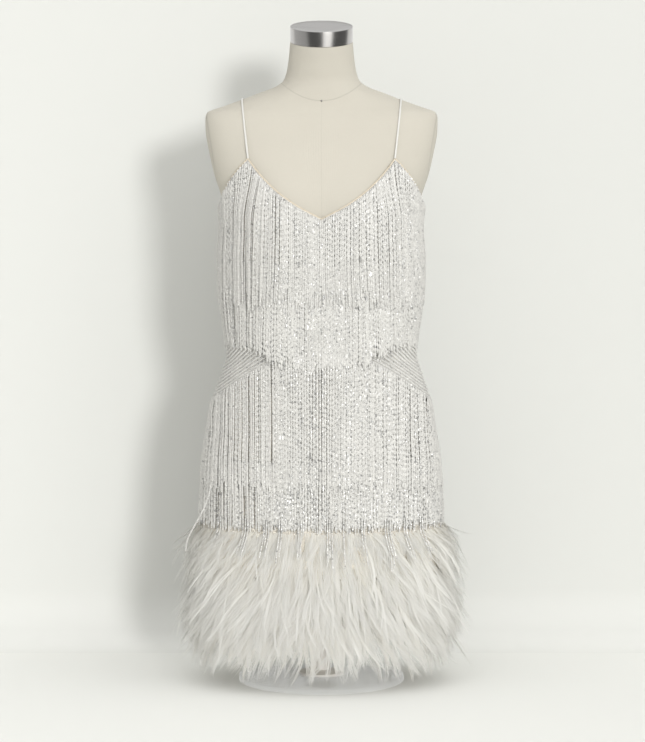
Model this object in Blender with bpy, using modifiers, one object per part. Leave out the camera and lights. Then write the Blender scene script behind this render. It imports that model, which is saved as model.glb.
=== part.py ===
"""A beaded-fringe flapper mini dress with a feather hem, worn on a limbless dress form.

Metres, +Z up. The front of the dress faces -Y, +X is the wearer's left, and the origin is
the middle of the base plate's underside.
"""
import math
import random
from collections import namedtuple

import bmesh
import bpy
import numpy as np
from mathutils import Vector

COLLECTION_NAME = "flapper_dress_on_form"
SEED = 21
SHARP_ANGLE = math.radians(40.0)
WELD_DISTANCE = 0.00001

# ---------------------------------------------------------------- clearances
TOUCH_GAP = 0.0003        # between pieces that touch or are sewn together
FORM_GAP = 0.0027         # between the form and the inside of the cloth
CLOTH_WALL = 0.0018

# ---------------------------------------------------------------- dress form
FORM_COLUMNS = 40
FORM_BOTTOM_Z = 0.150
FORM_BOTTOM_ROUND = 0.006
NECK_TOP_Z = 0.9625
NECK_BASE_Z = 0.905
NECK_TILT = math.radians(13.0)    # the neck is cut lower in front

# Horizontal sections. A squareness of 2 is an ellipse, and more than 2 is boxier.
# The lean moves a section's centre along Y.
FORM_FIELDS = "height half_width front back squareness lean"
FORM_SECTIONS = (
    (0.150, 0.168, 0.104, 0.106, 2.30, 0.000),
    (0.190, 0.171, 0.106, 0.110, 2.30, 0.000),
    (0.230, 0.1735, 0.108, 0.114, 2.30, 0.000),
    (0.270, 0.173, 0.110, 0.118, 2.30, 0.000),
    (0.310, 0.170, 0.112, 0.120, 2.30, 0.000),
    (0.350, 0.166, 0.112, 0.117, 2.28, 0.000),
    (0.390, 0.161, 0.110, 0.109, 2.25, 0.000),
    (0.430, 0.154, 0.105, 0.097, 2.20, 0.000),
    (0.465, 0.142, 0.099, 0.086, 2.15, 0.000),
    (0.495, 0.133, 0.096, 0.081, 2.12, 0.000),
    (0.530, 0.135, 0.100, 0.080, 2.15, 0.000),
    (0.570, 0.142, 0.107, 0.083, 2.20, 0.000),
    (0.610, 0.144, 0.115, 0.087, 2.25, 0.000),
    (0.650, 0.144, 0.120, 0.091, 2.30, 0.000),
    (0.690, 0.143, 0.121, 0.096, 2.40, 0.000),
    (0.730, 0.149, 0.116, 0.101, 2.70, 0.000),
    (0.765, 0.160, 0.104, 0.102, 3.00, 0.000),
    (0.800, 0.168, 0.089, 0.098, 3.10, 0.000),
    (0.830, 0.173, 0.076, 0.090, 3.00, 0.000),
    (0.848, 0.1735, 0.068, 0.082, 2.70, 0.000),
    (0.857, 0.171, 0.063, 0.077, 2.40, 0.000),
    (0.866, 0.148, 0.060, 0.074, 2.15, 0.000),
    (0.876, 0.120, 0.058, 0.071, 2.05, 0.000),
    (0.886, 0.094, 0.057, 0.068, 2.00, 0.000),
    (0.896, 0.068, 0.056, 0.063, 2.00, 0.000),
    (0.905, 0.0565, 0.053, 0.058, 2.00, -0.001),
    (0.920, 0.0515, 0.051, 0.052, 2.00, -0.004),
    (0.940, 0.0485, 0.048, 0.048, 2.00, -0.008),
    (0.9625, 0.0465, 0.0465, 0.0465, 2.00, -0.012),
)
BUST_APEX_X = 0.076
BUST_APEX_Z = 0.668
BUST_RISE = 0.026
BUST_SPREAD_X = 0.042
BUST_SPREAD_Z = 0.050

# ---------------------------------------------------------------- neck cap, post and base plate
CAP_RADIUS = 0.0465
CAP_HEIGHT = 0.0225
CAP_EDGE = 0.0012
ROUND_STEPS = 48
POST_STEPS = 24
POST_RADIUS = 0.0125
POST_FOOT_RADIUS = 0.034
POST_FOOT_HEIGHT = 0.007
POST_FOOT_SLOPE = 0.003
POST_HEAD_RADIUS = 0.045
POST_HEAD_HEIGHT = 0.005
PLATE_RADIUS = 0.125
PLATE_HEIGHT = 0.008
PLATE_EDGE = 0.0015

# ---------------------------------------------------------------- cloth panels
# Columns run round the dress from centre front (0) over the wearer's left side seam,
# centre back and right side seam. A quarter is one for each of these four stretches.
PANEL_COLUMNS = 40
QUARTER_COLUMNS = PANEL_COLUMNS // 4
HEM_Z = 0.172
FAN_Z = 0.636             # the columns spread from here up to the shaped top edge
HIP_ROWS = (HEM_Z, 0.215, 0.262, 0.310, 0.358, 0.405, 0.450, 0.492, 0.540, 0.590, FAN_Z)
TOP_ROWS = 5              # rows between there and the top edge

# What the cloth stands off the form beyond its own gap and wall.
EASE_FIELDS = "height side front back"
DRESS_EASE = (
    (HEM_Z, 0.003, 0.010, 0.010),
    (0.230, 0.002, 0.005, 0.004),
    (0.310, 0.001, 0.002, 0.001),
    (0.390, 0.001, 0.004, 0.003),
    (0.430, 0.001, 0.009, 0.008),
    (0.495, 0.002, 0.020, 0.014),
    (0.550, 0.001, 0.018, 0.011),
    (0.600, 0.000, 0.009, 0.006),
    (0.650, 0.000, 0.001, 0.002),
    (0.690, 0.000, 0.000, 0.000),
    (0.900, 0.000, 0.000, 0.000),
)

PEAK_X = 0.108            # where the straps leave the front
PEAK_Z = 0.789
PEAK_QUARTER = 0.5
NECK_POINT_Z = 0.702      # bottom of the V
NECK_STRAIGHT = 0.62      # share of the V's rise that is straight, the rest hollows it
UNDERARM_Z = 0.716
ARMHOLE_HOLLOW = 1.42
BACK_STRAP_QUARTER = 1.6
BACK_STRAP_Z = 0.744
BACK_CENTRE_Z = 0.732

# ---------------------------------------------------------------- shoulder straps
STRAP_WIDTH = 0.005
STRAP_THICKNESS = 0.0015
STRAP_END_GAP = 0.0006    # above the top edge of the cloth that it is sewn to
STRAP_GAP = 0.0005        # under the strap over the rounded shoulder
STRAP_SHOULDER_X = 0.118
STRAP_STEPS = 14
SHOULDER_TIP_Z = 0.857    # the shoulder line rises from here to the neck
NEARBY = 0.002            # how far apart points are compared for a surface's slope
NEARBY_TURN = 0.02
HEIGHT_ERROR = 0.00002    # at which the search for the shoulder line's height ends

# ---------------------------------------------------------------- fringe and feather trim
BAND_GAP = 0.0010         # a band's straight stretches cross the cloth's lattice corners
BAND_THICKNESS = 0.0022
BAND_HEIGHT = 0.007
BAND_BELOW_EDGE = 0.0015  # how far the first band lies under the dress's top edge
LOCK_THICKNESS = 0.0024
LOCK_NECK = 0.010         # how far below its band a lock has its full lift
ROW_MARGIN = 0.021        # a lock's tip and neck take the place of cloth rows this near
CLING = 0.07              # how fast a hanging lock swings back in, per metre of drop
UNDER_LIFT = 0.0038       # clears a band
OVER_LIFT = 0.0078        # clears a band and the locks of the tier below
LIFT_RUN = 0.040          # a lock rises from one to the other over this much of its drop

HIP_LINE_Z = 0.497        # the third tier's root line at centre front and centre back
HIP_LINE_DROP = 0.070     # and how much lower it runs at the sides
HIP_LINE_POWER = 5.0

# Bead fringe: height and unevenness of the tips, and the height of the tier that the locks
# hang over. Where they hang over none, that height is the floor.
Tier = namedtuple("Tier", "name tip_z uneven over_z")
FRINGE_2_ROOT_Z = 0.6395
FRINGE_4_ROOT_Z = 0.345
NOTHING_BELOW = 0.0
FRINGE_TIERS = (
    Tier("fringe_1", 0.576, 0.014, FRINGE_2_ROOT_Z),
    Tier("fringe_2", 0.504, 0.008, NOTHING_BELOW),
    Tier("fringe_3", 0.296, 0.014, FRINGE_4_ROOT_Z),
    Tier("fringe_4", 0.242, 0.006, NOTHING_BELOW),
)
BEAD_COVER = 0.68         # share of the round that the locks cover

# Feather locks, by their share of the way from root to tip: how far they stand off the cloth,
# the share of a column that they cover, and their thickness.
LOCK_FIELDS = "share flare cover thickness"
UPPER_LOCK = (
    (0.07, 0.020, 0.72, 0.0030),
    (0.30, 0.033, 0.90, 0.0036),
    (0.68, 0.035, 0.84, 0.0034),
    (1.00, 0.030, 0.18, 0.0016),
)
LOWER_LOCK = (
    (0.20, 0.010, 0.72, 0.0032),
    (0.62, 0.022, 0.90, 0.0036),
    (1.00, 0.010, 0.16, 0.0016),
)
# The lower trim's locks grow where the upper trim has its gaps.
Trim = namedtuple("Trim", "name root_z tip_z uneven cover shift profile")
FEATHER_TRIMS = (
    Trim("feather_trim_upper", 0.241, 0.085, 0.030, BEAD_COVER, 0.0, UPPER_LOCK),
    Trim("feather_trim_lower", 0.188, 0.024, 0.020, 1.0 - BEAD_COVER, 0.5, LOWER_LOCK),
)
FEATHER_SWAY = 0.05       # sideways bend of a feather lock, in columns


# ---------------------------------------------------------------- section tables
class SectionTable:
    """Reads a table of rows by height, on curves that never overshoot the rows."""

    def __init__(self, name, fields, rows):
        self.row_type = namedtuple(name, fields)
        self.rows = np.array(rows)
        self.heights = self.rows[:, 0]
        self.slopes = np.zeros_like(self.rows)
        rises = np.diff(self.rows, axis=0) / np.diff(self.heights)[:, None]
        self.slopes[0] = rises[0]
        self.slopes[-1] = rises[-1]
        same_way = rises[:-1] * rises[1:] > 0.0
        total = np.where(same_way, rises[:-1] + rises[1:], 1.0)
        self.slopes[1:-1] = np.where(same_way, 2.0 * rises[:-1] * rises[1:] / total, 0.0)

    def at(self, height):
        height = min(max(height, self.heights[0]), self.heights[-1])
        above = int(np.clip(np.searchsorted(self.heights, height), 1, len(self.heights) - 1))
        span = self.heights[above] - self.heights[above - 1]
        share = (height - self.heights[above - 1]) / span
        stay = 1.0 - share
        values = (
            self.rows[above - 1] * (1.0 + 2.0 * share) * stay ** 2
            + self.rows[above] * (3.0 - 2.0 * share) * share ** 2
            + self.slopes[above - 1] * span * share * stay ** 2
            - self.slopes[above] * span * share ** 2 * stay
        )
        return self.row_type(*values)


FORM = SectionTable("FormSection", FORM_FIELDS, FORM_SECTIONS)
EASE = SectionTable("DressEase", EASE_FIELDS, DRESS_EASE)


def smooth_step(share):
    share = min(max(share, 0.0), 1.0)
    return share * share * (3.0 - 2.0 * share)


# ---------------------------------------------------------------- the figure's surface
def bust_rise(x, height):
    """How far the bust comes forward of the plain section."""
    along = ((abs(x) - BUST_APEX_X) / BUST_SPREAD_X) ** 2
    up = ((height - BUST_APEX_Z) / BUST_SPREAD_Z) ** 2
    return BUST_RISE * math.exp(-0.5 * (along + up))


def surface_point(turn, height, side=0.0, front=0.0, back=0.0):
    """A point round the figure: turn 0 is centre front and a quarter turn is +X.

    side, front and back widen the form's own section.
    """
    section = FORM.at(height)
    power = 2.0 / section.squareness
    across = abs(math.sin(turn)) ** power
    depth = abs(math.cos(turn)) ** power
    x = math.copysign((section.half_width + side) * across, math.sin(turn))
    if math.cos(turn) > 0.0:
        y = section.lean - (section.front + front + bust_rise(x, height)) * depth
    else:
        y = section.lean + (section.back + back) * depth
    return Vector((x, y, height))


def cloth_point(turn, height):
    """A point on the outside of the cloth."""
    ease = EASE.at(height)
    skin = FORM_GAP + CLOTH_WALL
    return surface_point(turn, height, skin + ease.side, skin + ease.front, skin + ease.back)


def turn_at(x, height):
    """The turn at which the front of the cloth reaches a sideways distance."""
    section = FORM.at(height)
    half_width = section.half_width + FORM_GAP + CLOTH_WALL + EASE.at(height).side
    return math.asin(min(abs(x) / half_width, 1.0) ** (section.squareness / 2.0))


# ---------------------------------------------------------------- the cloth's lattice
def fold(column):
    """A column's quarter from centre front (0) to centre back (2), and its side of the dress."""
    around = column % PANEL_COLUMNS
    if around <= 2 * QUARTER_COLUMNS:
        return around / QUARTER_COLUMNS, 1.0
    return (PANEL_COLUMNS - around) / QUARTER_COLUMNS, -1.0


def top_edge(quarter):
    """The turn and height at which a column reaches the top edge."""
    if quarter <= PEAK_QUARTER:
        share = quarter / PEAK_QUARTER
        rise = NECK_STRAIGHT * share + (1.0 - NECK_STRAIGHT) * share ** 3
        height = NECK_POINT_Z + (PEAK_Z - NECK_POINT_Z) * rise
        return turn_at(PEAK_X * share, height), height
    if quarter <= 1.0:
        share = (quarter - PEAK_QUARTER) / (1.0 - PEAK_QUARTER)
        peak_turn = turn_at(PEAK_X, PEAK_Z)
        height = UNDERARM_Z + (PEAK_Z - UNDERARM_Z) * (1.0 - share) ** ARMHOLE_HOLLOW
        return peak_turn + (math.pi / 2.0 - peak_turn) * share, height
    turn = quarter * math.pi / 2.0
    if quarter <= BACK_STRAP_QUARTER:
        share = (quarter - 1.0) / (BACK_STRAP_QUARTER - 1.0)
        return turn, UNDERARM_Z + (BACK_STRAP_Z - UNDERARM_Z) * smooth_step(share)
    share = (quarter - BACK_STRAP_QUARTER) / (2.0 - BACK_STRAP_QUARTER)
    return turn, BACK_STRAP_Z + (BACK_CENTRE_Z - BACK_STRAP_Z) * smooth_step(share)


def lattice_column(column):
    """The cloth's outer points up one column, from hem to top edge."""
    quarter, hand = fold(column)
    low_turn = quarter * math.pi / 2.0
    top_turn, top_z = top_edge(quarter)
    heights = list(HIP_ROWS)
    heights += [FAN_Z + (top_z - FAN_Z) * row / TOP_ROWS for row in range(1, TOP_ROWS + 1)]
    points = []
    for height in heights:
        spread = smooth_step((height - FAN_Z) / (top_z - FAN_Z))
        point = cloth_point(low_turn + (top_turn - low_turn) * spread, height)
        points.append(Vector((point.x * hand, point.y, point.z)))
    return points


LATTICE = [lattice_column(column) for column in range(PANEL_COLUMNS)]


def on_column(column, height):
    """A point on one of the lattice's own columns, straight on past either end."""
    points = LATTICE[column % PANEL_COLUMNS]
    if height <= HEM_Z:
        return Vector((points[0].x, points[0].y, height))
    upper = 1
    while upper < len(points) - 1 and points[upper].z < height:
        upper += 1
    low, high = points[upper - 1], points[upper]
    return low.lerp(high, (height - low.z) / (high.z - low.z))


def on_cloth(column, height, out=0.0):
    """A point on the cloth between columns, moved out along the cloth's level normal."""
    before = math.floor(column)
    start = on_column(before, height)
    end = on_column(before + 1, height)
    point = start.lerp(end, column - before)
    return point + level_normal(column, height) * out


def along_cloth(column, height):
    """The level direction round the dress, towards higher columns."""
    before = math.floor(column)
    here = column - before
    this_way = (on_column(before + 1, height) - on_column(before, height)).normalized()
    if here < 0.5:
        other_way = (on_column(before, height) - on_column(before - 1, height)).normalized()
        blend = 0.5 + here
    else:
        other_way = (on_column(before + 2, height) - on_column(before + 1, height)).normalized()
        blend = 1.5 - here
    return (other_way * (1.0 - blend) + this_way * blend).normalized()


def level_normal(column, height):
    along = along_cloth(column, height)
    return Vector((along.y, -along.x, 0.0)).normalized()


def column_top(column):
    """The height of the cloth's top edge at any column."""
    before = math.floor(column)
    start = LATTICE[before % PANEL_COLUMNS][-1].z
    end = LATTICE[(before + 1) % PANEL_COLUMNS][-1].z
    return start + (end - start) * (column - before)


# ---------------------------------------------------------------- scene helpers
def clear_scene():
    for old in list(bpy.data.objects):
        bpy.data.objects.remove(old, do_unlink=True)


def make_material(name, colour, roughness, metallic=0.0, transmission=0.0):
    material = bpy.data.materials.new(name)
    material.use_nodes = True
    shader = material.node_tree.nodes["Principled BSDF"]
    shader.inputs["Base Color"].default_value = (*colour, 1.0)
    shader.inputs["Roughness"].default_value = roughness
    shader.inputs["Metallic"].default_value = metallic
    shader.inputs["Transmission Weight"].default_value = transmission
    return material


def place(name, mesh, material, collection, parent, location=(0.0, 0.0, 0.0), tilt=0.0):
    mesh.materials.append(material)
    piece = bpy.data.objects.new(name, mesh)
    piece.location = location
    piece.rotation_euler = (tilt, 0.0, 0.0)
    piece.parent = parent
    collection.objects.link(piece)
    return piece


def mesh_from_bmesh(name, shape):
    mesh = bpy.data.meshes.new(name)
    shape.normal_update()
    shape.to_mesh(mesh)
    shape.free()
    mesh.shade_smooth()
    mesh.set_sharp_from_angle(angle=SHARP_ANGLE)
    return mesh


def loft(name, rings):
    """Joins rings of points, each the same way round seen from above, bottom ring first."""
    shape = bmesh.new()
    rows = [[shape.verts.new(point) for point in ring] for ring in rings]
    count = len(rings[0])
    for low, high in zip(rows, rows[1:]):
        for index in range(count):
            after = (index + 1) % count
            shape.faces.new((low[index], low[after], high[after], high[index]))
    shape.faces.new(list(reversed(rows[0])))
    shape.faces.new(rows[-1])
    return mesh_from_bmesh(name, shape)


def turned(name, profile, steps, material, collection, parent, location=(0.0, 0.0, 0.0), tilt=0.0):
    """A turned piece from (radius, height) points that run down its outer side."""
    mesh = bpy.data.meshes.new(name)
    points = [(radius, 0.0, height) for radius, height in profile]
    mesh.from_pydata(points, [(index, index + 1) for index in range(len(points) - 1)], [])
    piece = place(name, mesh, material, collection, parent, location, tilt)
    screw = piece.modifiers.new("turn", "SCREW")
    screw.axis = "Z"
    screw.steps = steps
    screw.render_steps = steps
    screw.use_merge_vertices = True
    screw.merge_threshold = WELD_DISTANCE
    screw.use_smooth_shade = True
    return piece


# ---------------------------------------------------------------- dress form
def form_ring(height, shrink=0.0):
    """One ring of the form, tilted forward up the neck."""
    lean = FORM.at(height).lean
    tilt = NECK_TILT * smooth_step((height - NECK_BASE_Z) / (NECK_TOP_Z - NECK_BASE_Z))
    ring = []
    for column in range(FORM_COLUMNS):
        turn = 2.0 * math.pi * column / FORM_COLUMNS
        point = surface_point(turn, height, -shrink, -shrink, -shrink)
        point.z += math.tan(tilt) * (point.y - lean)
        ring.append(point)
    return ring


def build_form(material, collection, parent):
    edge = form_ring(FORM_BOTTOM_Z, FORM_BOTTOM_ROUND)
    rings = [edge]
    for height in FORM.heights:
        ring = form_ring(height)
        if height == FORM_BOTTOM_Z:
            for point in ring:
                point.z += FORM_BOTTOM_ROUND
        rings.append(ring)
    place("form_torso", loft("form_torso", rings), material, collection, parent)


def build_neck_cap(material, collection, parent):
    profile = (
        (0.0, CAP_HEIGHT),
        (CAP_RADIUS - CAP_EDGE, CAP_HEIGHT),
        (CAP_RADIUS, CAP_HEIGHT - CAP_EDGE),
        (CAP_RADIUS, 0.0),
        (0.0, 0.0),
    )
    out = Vector((0.0, -math.sin(NECK_TILT), math.cos(NECK_TILT))) * TOUCH_GAP
    seat = Vector((0.0, FORM.at(NECK_TOP_Z).lean, NECK_TOP_Z)) + out
    turned("form_neck_cap", profile, ROUND_STEPS, material, collection, parent, seat, NECK_TILT)


def build_post(material, collection, parent):
    bottom = PLATE_HEIGHT + TOUCH_GAP
    top = FORM_BOTTOM_Z - TOUCH_GAP
    profile = (
        (0.0, top),
        (POST_HEAD_RADIUS, top),
        (POST_HEAD_RADIUS, top - POST_HEAD_HEIGHT),
        (POST_RADIUS, top - POST_HEAD_HEIGHT),
        (POST_RADIUS, bottom + POST_FOOT_HEIGHT),
        (POST_FOOT_RADIUS, bottom + POST_FOOT_HEIGHT - POST_FOOT_SLOPE),
        (POST_FOOT_RADIUS, bottom),
        (0.0, bottom),
    )
    turned("form_post", profile, POST_STEPS, material, collection, parent)


def build_base_plate(material, collection, parent):
    profile = (
        (0.0, PLATE_HEIGHT),
        (PLATE_RADIUS - PLATE_EDGE, PLATE_HEIGHT),
        (PLATE_RADIUS, PLATE_HEIGHT - PLATE_EDGE),
        (PLATE_RADIUS, PLATE_EDGE),
        (PLATE_RADIUS - PLATE_EDGE, 0.0),
        (0.0, 0.0),
    )
    turned("form_base", profile, ROUND_STEPS, material, collection, parent)


# ---------------------------------------------------------------- cloth panels
def seam_edge(column, towards):
    """A panel's edge at a side seam, drawn in so that the walls' inner edges stay apart too."""
    edge = []
    for point, inside, outside in zip(LATTICE[column % PANEL_COLUMNS],
                                      LATTICE[(column + towards) % PANEL_COLUMNS],
                                      LATTICE[(column - towards) % PANEL_COLUMNS]):
        half_bend = (inside - point).angle(point - outside) / 2.0
        drawn_in = TOUCH_GAP / 2.0 + CLOTH_WALL * math.tan(half_bend)
        edge.append(point.lerp(inside, drawn_in / (inside - point).length))
    return edge


def build_panel(name, first, last, material, collection, parent):
    """One cloth panel between two side seams, as an open sheet with a wall on its inner side."""
    shape = bmesh.new()
    lines = [seam_edge(first, 1)]
    lines += [LATTICE[column % PANEL_COLUMNS] for column in range(first + 1, last)]
    lines += [seam_edge(last, -1)]
    columns = [[shape.verts.new(point) for point in line] for line in lines]
    for left, right in zip(columns, columns[1:]):
        for row in range(len(left) - 1):
            shape.faces.new((left[row], right[row], right[row + 1], left[row + 1]))
    piece = place(name, mesh_from_bmesh(name, shape), material, collection, parent)
    wall = piece.modifiers.new("wall", "SOLIDIFY")
    wall.thickness = CLOTH_WALL
    wall.offset = -1.0
    wall.use_even_offset = True


# ---------------------------------------------------------------- shoulder straps
def taut_line(line):
    """What a taut strap keeps of a line of (point, normal) pairs: its hull seen from the side."""
    hull = []
    for point, normal in line:
        while len(hull) > 1:
            first, last = hull[-2][0], hull[-1][0]
            turns_over = (last.y - first.y) * (point.z - first.z) - (last.z - first.z) * (point.y - first.y)
            if turns_over < 0.0:
                break
            hull.pop()
        hull.append((point, normal))
    return hull


def form_turn(x, height, behind):
    """The turn at which the form reaches a sideways distance, in front or behind."""
    section = FORM.at(height)
    turn = math.asin(min(x / section.half_width, 1.0) ** (section.squareness / 2.0))
    return math.pi - turn if behind else turn


def form_normal(turn, height):
    """The outward normal of the form's surface, from points close by."""
    around = surface_point(turn + NEARBY_TURN, height) - surface_point(turn - NEARBY_TURN, height)
    upwards = surface_point(turn, height + NEARBY) - surface_point(turn, height - NEARBY)
    return around.cross(upwards).normalized()


def shoulder_height(x):
    """The height of the shoulder line at a sideways distance."""
    low, high = SHOULDER_TIP_Z, NECK_BASE_Z
    while high - low > HEIGHT_ERROR:
        middle = (low + high) / 2.0
        if FORM.at(middle).half_width > x:
            low = middle
        else:
            high = middle
    return low


def strap_line(front_end, back_end):
    """A strap's middle line, with the surface normals, from the front peak over the shoulder."""
    lift = STRAP_GAP + STRAP_THICKNESS / 2.0
    top = shoulder_height(STRAP_SHOULDER_X)
    line = []
    for behind, end in ((False, front_end), (True, back_end)):
        stretch = []
        for step in range(STRAP_STEPS + 1):
            share = math.sin(math.pi / 2.0 * step / STRAP_STEPS)
            height = end.z + (top - end.z) * share
            x = end.x + (STRAP_SHOULDER_X - end.x) * share
            turn = form_turn(x, height, behind)
            normal = form_normal(turn, height)
            stretch.append((surface_point(turn, height) + normal * lift, normal))
        stretch[0] = (end, stretch[0][1])
        line += stretch[::-1][1:] if behind else stretch
    return taut_line(line)


def build_strap(name, hand, material, collection, parent):
    ends = []
    for quarter in (PEAK_QUARTER, BACK_STRAP_QUARTER):
        column = quarter * QUARTER_COLUMNS
        edge = on_cloth(column, column_top(column), -CLOTH_WALL / 2.0)
        ends.append(edge + Vector((0.0, 0.0, STRAP_END_GAP)))
    line = strap_line(*ends)
    rings = []
    for index, (point, normal) in enumerate(line):
        before = line[max(index - 1, 0)][0]
        after = line[min(index + 1, len(line) - 1)][0]
        run = (after - before).normalized()
        across = run.cross(normal).normalized()
        outward = across.cross(run)
        if index in (0, len(line) - 1):
            outward = Vector((outward.x, outward.y, 0.0)).normalized()
            across = Vector((outward.y, -outward.x, 0.0)) * math.copysign(1.0, run.z)
        side = across * STRAP_WIDTH / 2.0
        half = outward * STRAP_THICKNESS / 2.0
        corners = (point - side - half, point + side - half, point + side + half, point - side + half)
        rings.append([Vector((corner.x * hand, corner.y, corner.z)) for corner in corners])
    mesh = loft(name, rings)
    if hand > 0.0:
        mesh.flip_normals()
    place(name, mesh, material, collection, parent)


# ---------------------------------------------------------------- bands with hanging locks
def lock_heights(column, root_z, tip_z):
    """Where a lock bends: at its neck, at the cloth's own rows below that, and at its tip."""
    rows = [point.z for point in LATTICE[math.floor(column) % PANEL_COLUMNS]]
    neck = root_z - LOCK_NECK
    between = [height for height in reversed(rows) if tip_z + ROW_MARGIN < height < neck - ROW_MARGIN]
    return [neck, *between, tip_z]


def lift_at(height, over_z):
    """How far a lock's inner face stands off the cloth at a height."""
    share = smooth_step((over_z + LIFT_RUN - height) / LIFT_RUN)
    return UNDER_LIFT + (OVER_LIFT - UNDER_LIFT) * share


def hanging_points(column, root_z, tip_z, over_z):
    """The middle line of a hanging lock: on the cloth where it bulges, and plumb below that."""
    points = []
    previous = on_cloth(column, root_z, BAND_GAP + BAND_THICKNESS / 2.0)
    for height in lock_heights(column, root_z, tip_z):
        normal = level_normal(column, height)
        point = on_cloth(column, height, lift_at(height, over_z) + LOCK_THICKNESS / 2.0)
        drop = previous.z - height
        stand_off = (previous - point).dot(normal) - CLING * drop
        if stand_off > 0.0:
            point = point + normal * stand_off
        points.append((point, normal))
        previous = point
    return points


def band_with_locks(name, cover, shift, top_of, lock_rings):
    """A narrow band round the dress with a lock growing from its lower edge in each column.

    top_of gives the band's upper edge at a column. lock_rings gives a lock's rings below the
    band, four corners each: inner and outer at the lower column, outer and inner at the
    higher one.
    """
    shape = bmesh.new()
    middles = [column + 0.5 + shift for column in range(PANEL_COLUMNS)]
    posts = []
    for middle in middles:
        for column in (middle - cover / 2.0, middle + cover / 2.0):
            top = top_of(column)
            low = top - BAND_HEIGHT
            outer = BAND_GAP + BAND_THICKNESS
            corners = ((top, BAND_GAP), (top, outer), (low, outer), (low, BAND_GAP))
            posts.append([shape.verts.new(on_cloth(column, height, out)) for height, out in corners])
    for index, post in enumerate(posts):
        after = posts[(index + 1) % len(posts)]
        starts_lock = index % 2 == 0
        for corner in range(4):
            over = (corner + 1) % 4
            if corner == 2 and starts_lock:
                continue
            shape.faces.new((post[corner], post[over], after[over], after[corner]))
    for lock, middle in enumerate(middles):
        left, right = posts[2 * lock], posts[2 * lock + 1]
        upper = [left[3], left[2], right[2], right[3]]
        for ring in lock_rings(middle):
            lower = [shape.verts.new(point) for point in ring]
            for corner in range(4):
                over = (corner + 1) % 4
                shape.faces.new((upper[corner], lower[corner], lower[over], upper[over]))
            upper = lower
        shape.faces.new(upper)
    bmesh.ops.recalc_face_normals(shape, faces=shape.faces)
    return mesh_from_bmesh(name, shape)


def lock_ring(point, normal, width, thickness):
    """Four corners round a lock's middle line."""
    along = Vector((-normal.y, normal.x, 0.0)) * width / 2.0
    half = normal * thickness / 2.0
    return (point - along - half, point - along + half, point + along + half, point + along - half)


def neckline_top(column):
    return column_top(column) - BAND_BELOW_EDGE


def hip_line_top(column):
    """The third tier's root line, high at the centre and low at the sides."""
    quarter, _ = fold(column)
    aside = (1.0 - math.cos(math.pi * quarter)) / 2.0
    return HIP_LINE_Z - HIP_LINE_DROP * aside ** HIP_LINE_POWER


def column_width(column, height):
    before = math.floor(column)
    return (on_column(before + 1, height) - on_column(before, height)).length


def build_fringe(tier, top_of, material, collection, parent):
    chance = random.Random(tier.name + str(SEED))

    def rings(column):
        root_z = top_of(column) - BAND_HEIGHT
        tip_z = tier.tip_z + tier.uneven * chance.random()
        return [lock_ring(point, normal, column_width(column, point.z) * BEAD_COVER, LOCK_THICKNESS)
                for point, normal in hanging_points(column, root_z, tip_z, tier.over_z)]

    mesh = band_with_locks(tier.name, BEAD_COVER, 0.0, top_of, rings)
    place(tier.name, mesh, material, collection, parent)


def build_feather_trim(trim, material, collection, parent):
    chance = random.Random(trim.name + str(SEED))
    lock_row = namedtuple("LockRow", LOCK_FIELDS)

    def rings(column):
        root_z = trim.root_z - BAND_HEIGHT
        tip_z = trim.tip_z + trim.uneven * (chance.random() - 0.5)
        sway = FEATHER_SWAY * (2.0 * chance.random() - 1.0)
        found = []
        for row in (lock_row(*values) for values in trim.profile):
            height = root_z + (tip_z - root_z) * row.share
            bent = column + sway * row.share ** 2
            normal = level_normal(bent, height)
            out = BAND_THICKNESS + row.flare
            point = on_cloth(bent, height, out)
            pitch = (on_cloth(column + 0.5, height, out) - on_cloth(column - 0.5, height, out)).length
            found.append(lock_ring(point, normal, pitch * row.cover, row.thickness))
        return found

    mesh = band_with_locks(trim.name, trim.cover, trim.shift, lambda column: trim.root_z, rings)
    place(trim.name, mesh, material, collection, parent)


# ---------------------------------------------------------------- the whole object
def build():
    clear_scene()
    collection = bpy.data.collections.new(COLLECTION_NAME)
    bpy.context.scene.collection.children.link(collection)
    stand = bpy.data.objects.new("dress_on_form", None)
    collection.objects.link(stand)

    linen = make_material("form_linen", (0.76, 0.70, 0.59), 0.85)
    steel = make_material("brushed_steel", (0.62, 0.61, 0.60), 0.32, 1.0)
    glass = make_material("clear_glass", (0.90, 0.95, 0.94), 0.05, 0.0, 1.0)
    cloth = make_material("beaded_net", (0.86, 0.85, 0.82), 0.55)
    satin = make_material("strap_satin", (0.90, 0.89, 0.86), 0.45)
    beads = make_material("bead_fringe", (0.90, 0.90, 0.88), 0.25)
    feathers = make_material("ostrich_feather", (0.88, 0.87, 0.84), 0.80)

    build_form(linen, collection, stand)
    build_neck_cap(steel, collection, stand)
    build_post(steel, collection, stand)
    build_base_plate(glass, collection, stand)
    build_panel("dress_front", -QUARTER_COLUMNS, QUARTER_COLUMNS, cloth, collection, stand)
    build_panel("dress_back", QUARTER_COLUMNS, 3 * QUARTER_COLUMNS, cloth, collection, stand)
    build_strap("strap_left", 1.0, satin, collection, stand)
    build_strap("strap_right", -1.0, satin, collection, stand)
    roots = (neckline_top, lambda column: FRINGE_2_ROOT_Z, hip_line_top, lambda column: FRINGE_4_ROOT_Z)
    for tier, top_of in zip(FRINGE_TIERS, roots):
        build_fringe(tier, top_of, beads, collection, stand)
    for trim in FEATHER_TRIMS:
        build_feather_trim(trim, feathers, collection, stand)


build()
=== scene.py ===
"""A beaded-fringe flapper dress on a dress form: the finished surfaces round the packed frame.

Metres, +Z up. The front of the dress faces -Y and +X is the wearer's left. A place round the
dress is counted in quarters: 0 is centre front, 1 the wearer's left side seam, 2 centre back
and 3 the right side seam.
"""
import math
from collections import namedtuple

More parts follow.
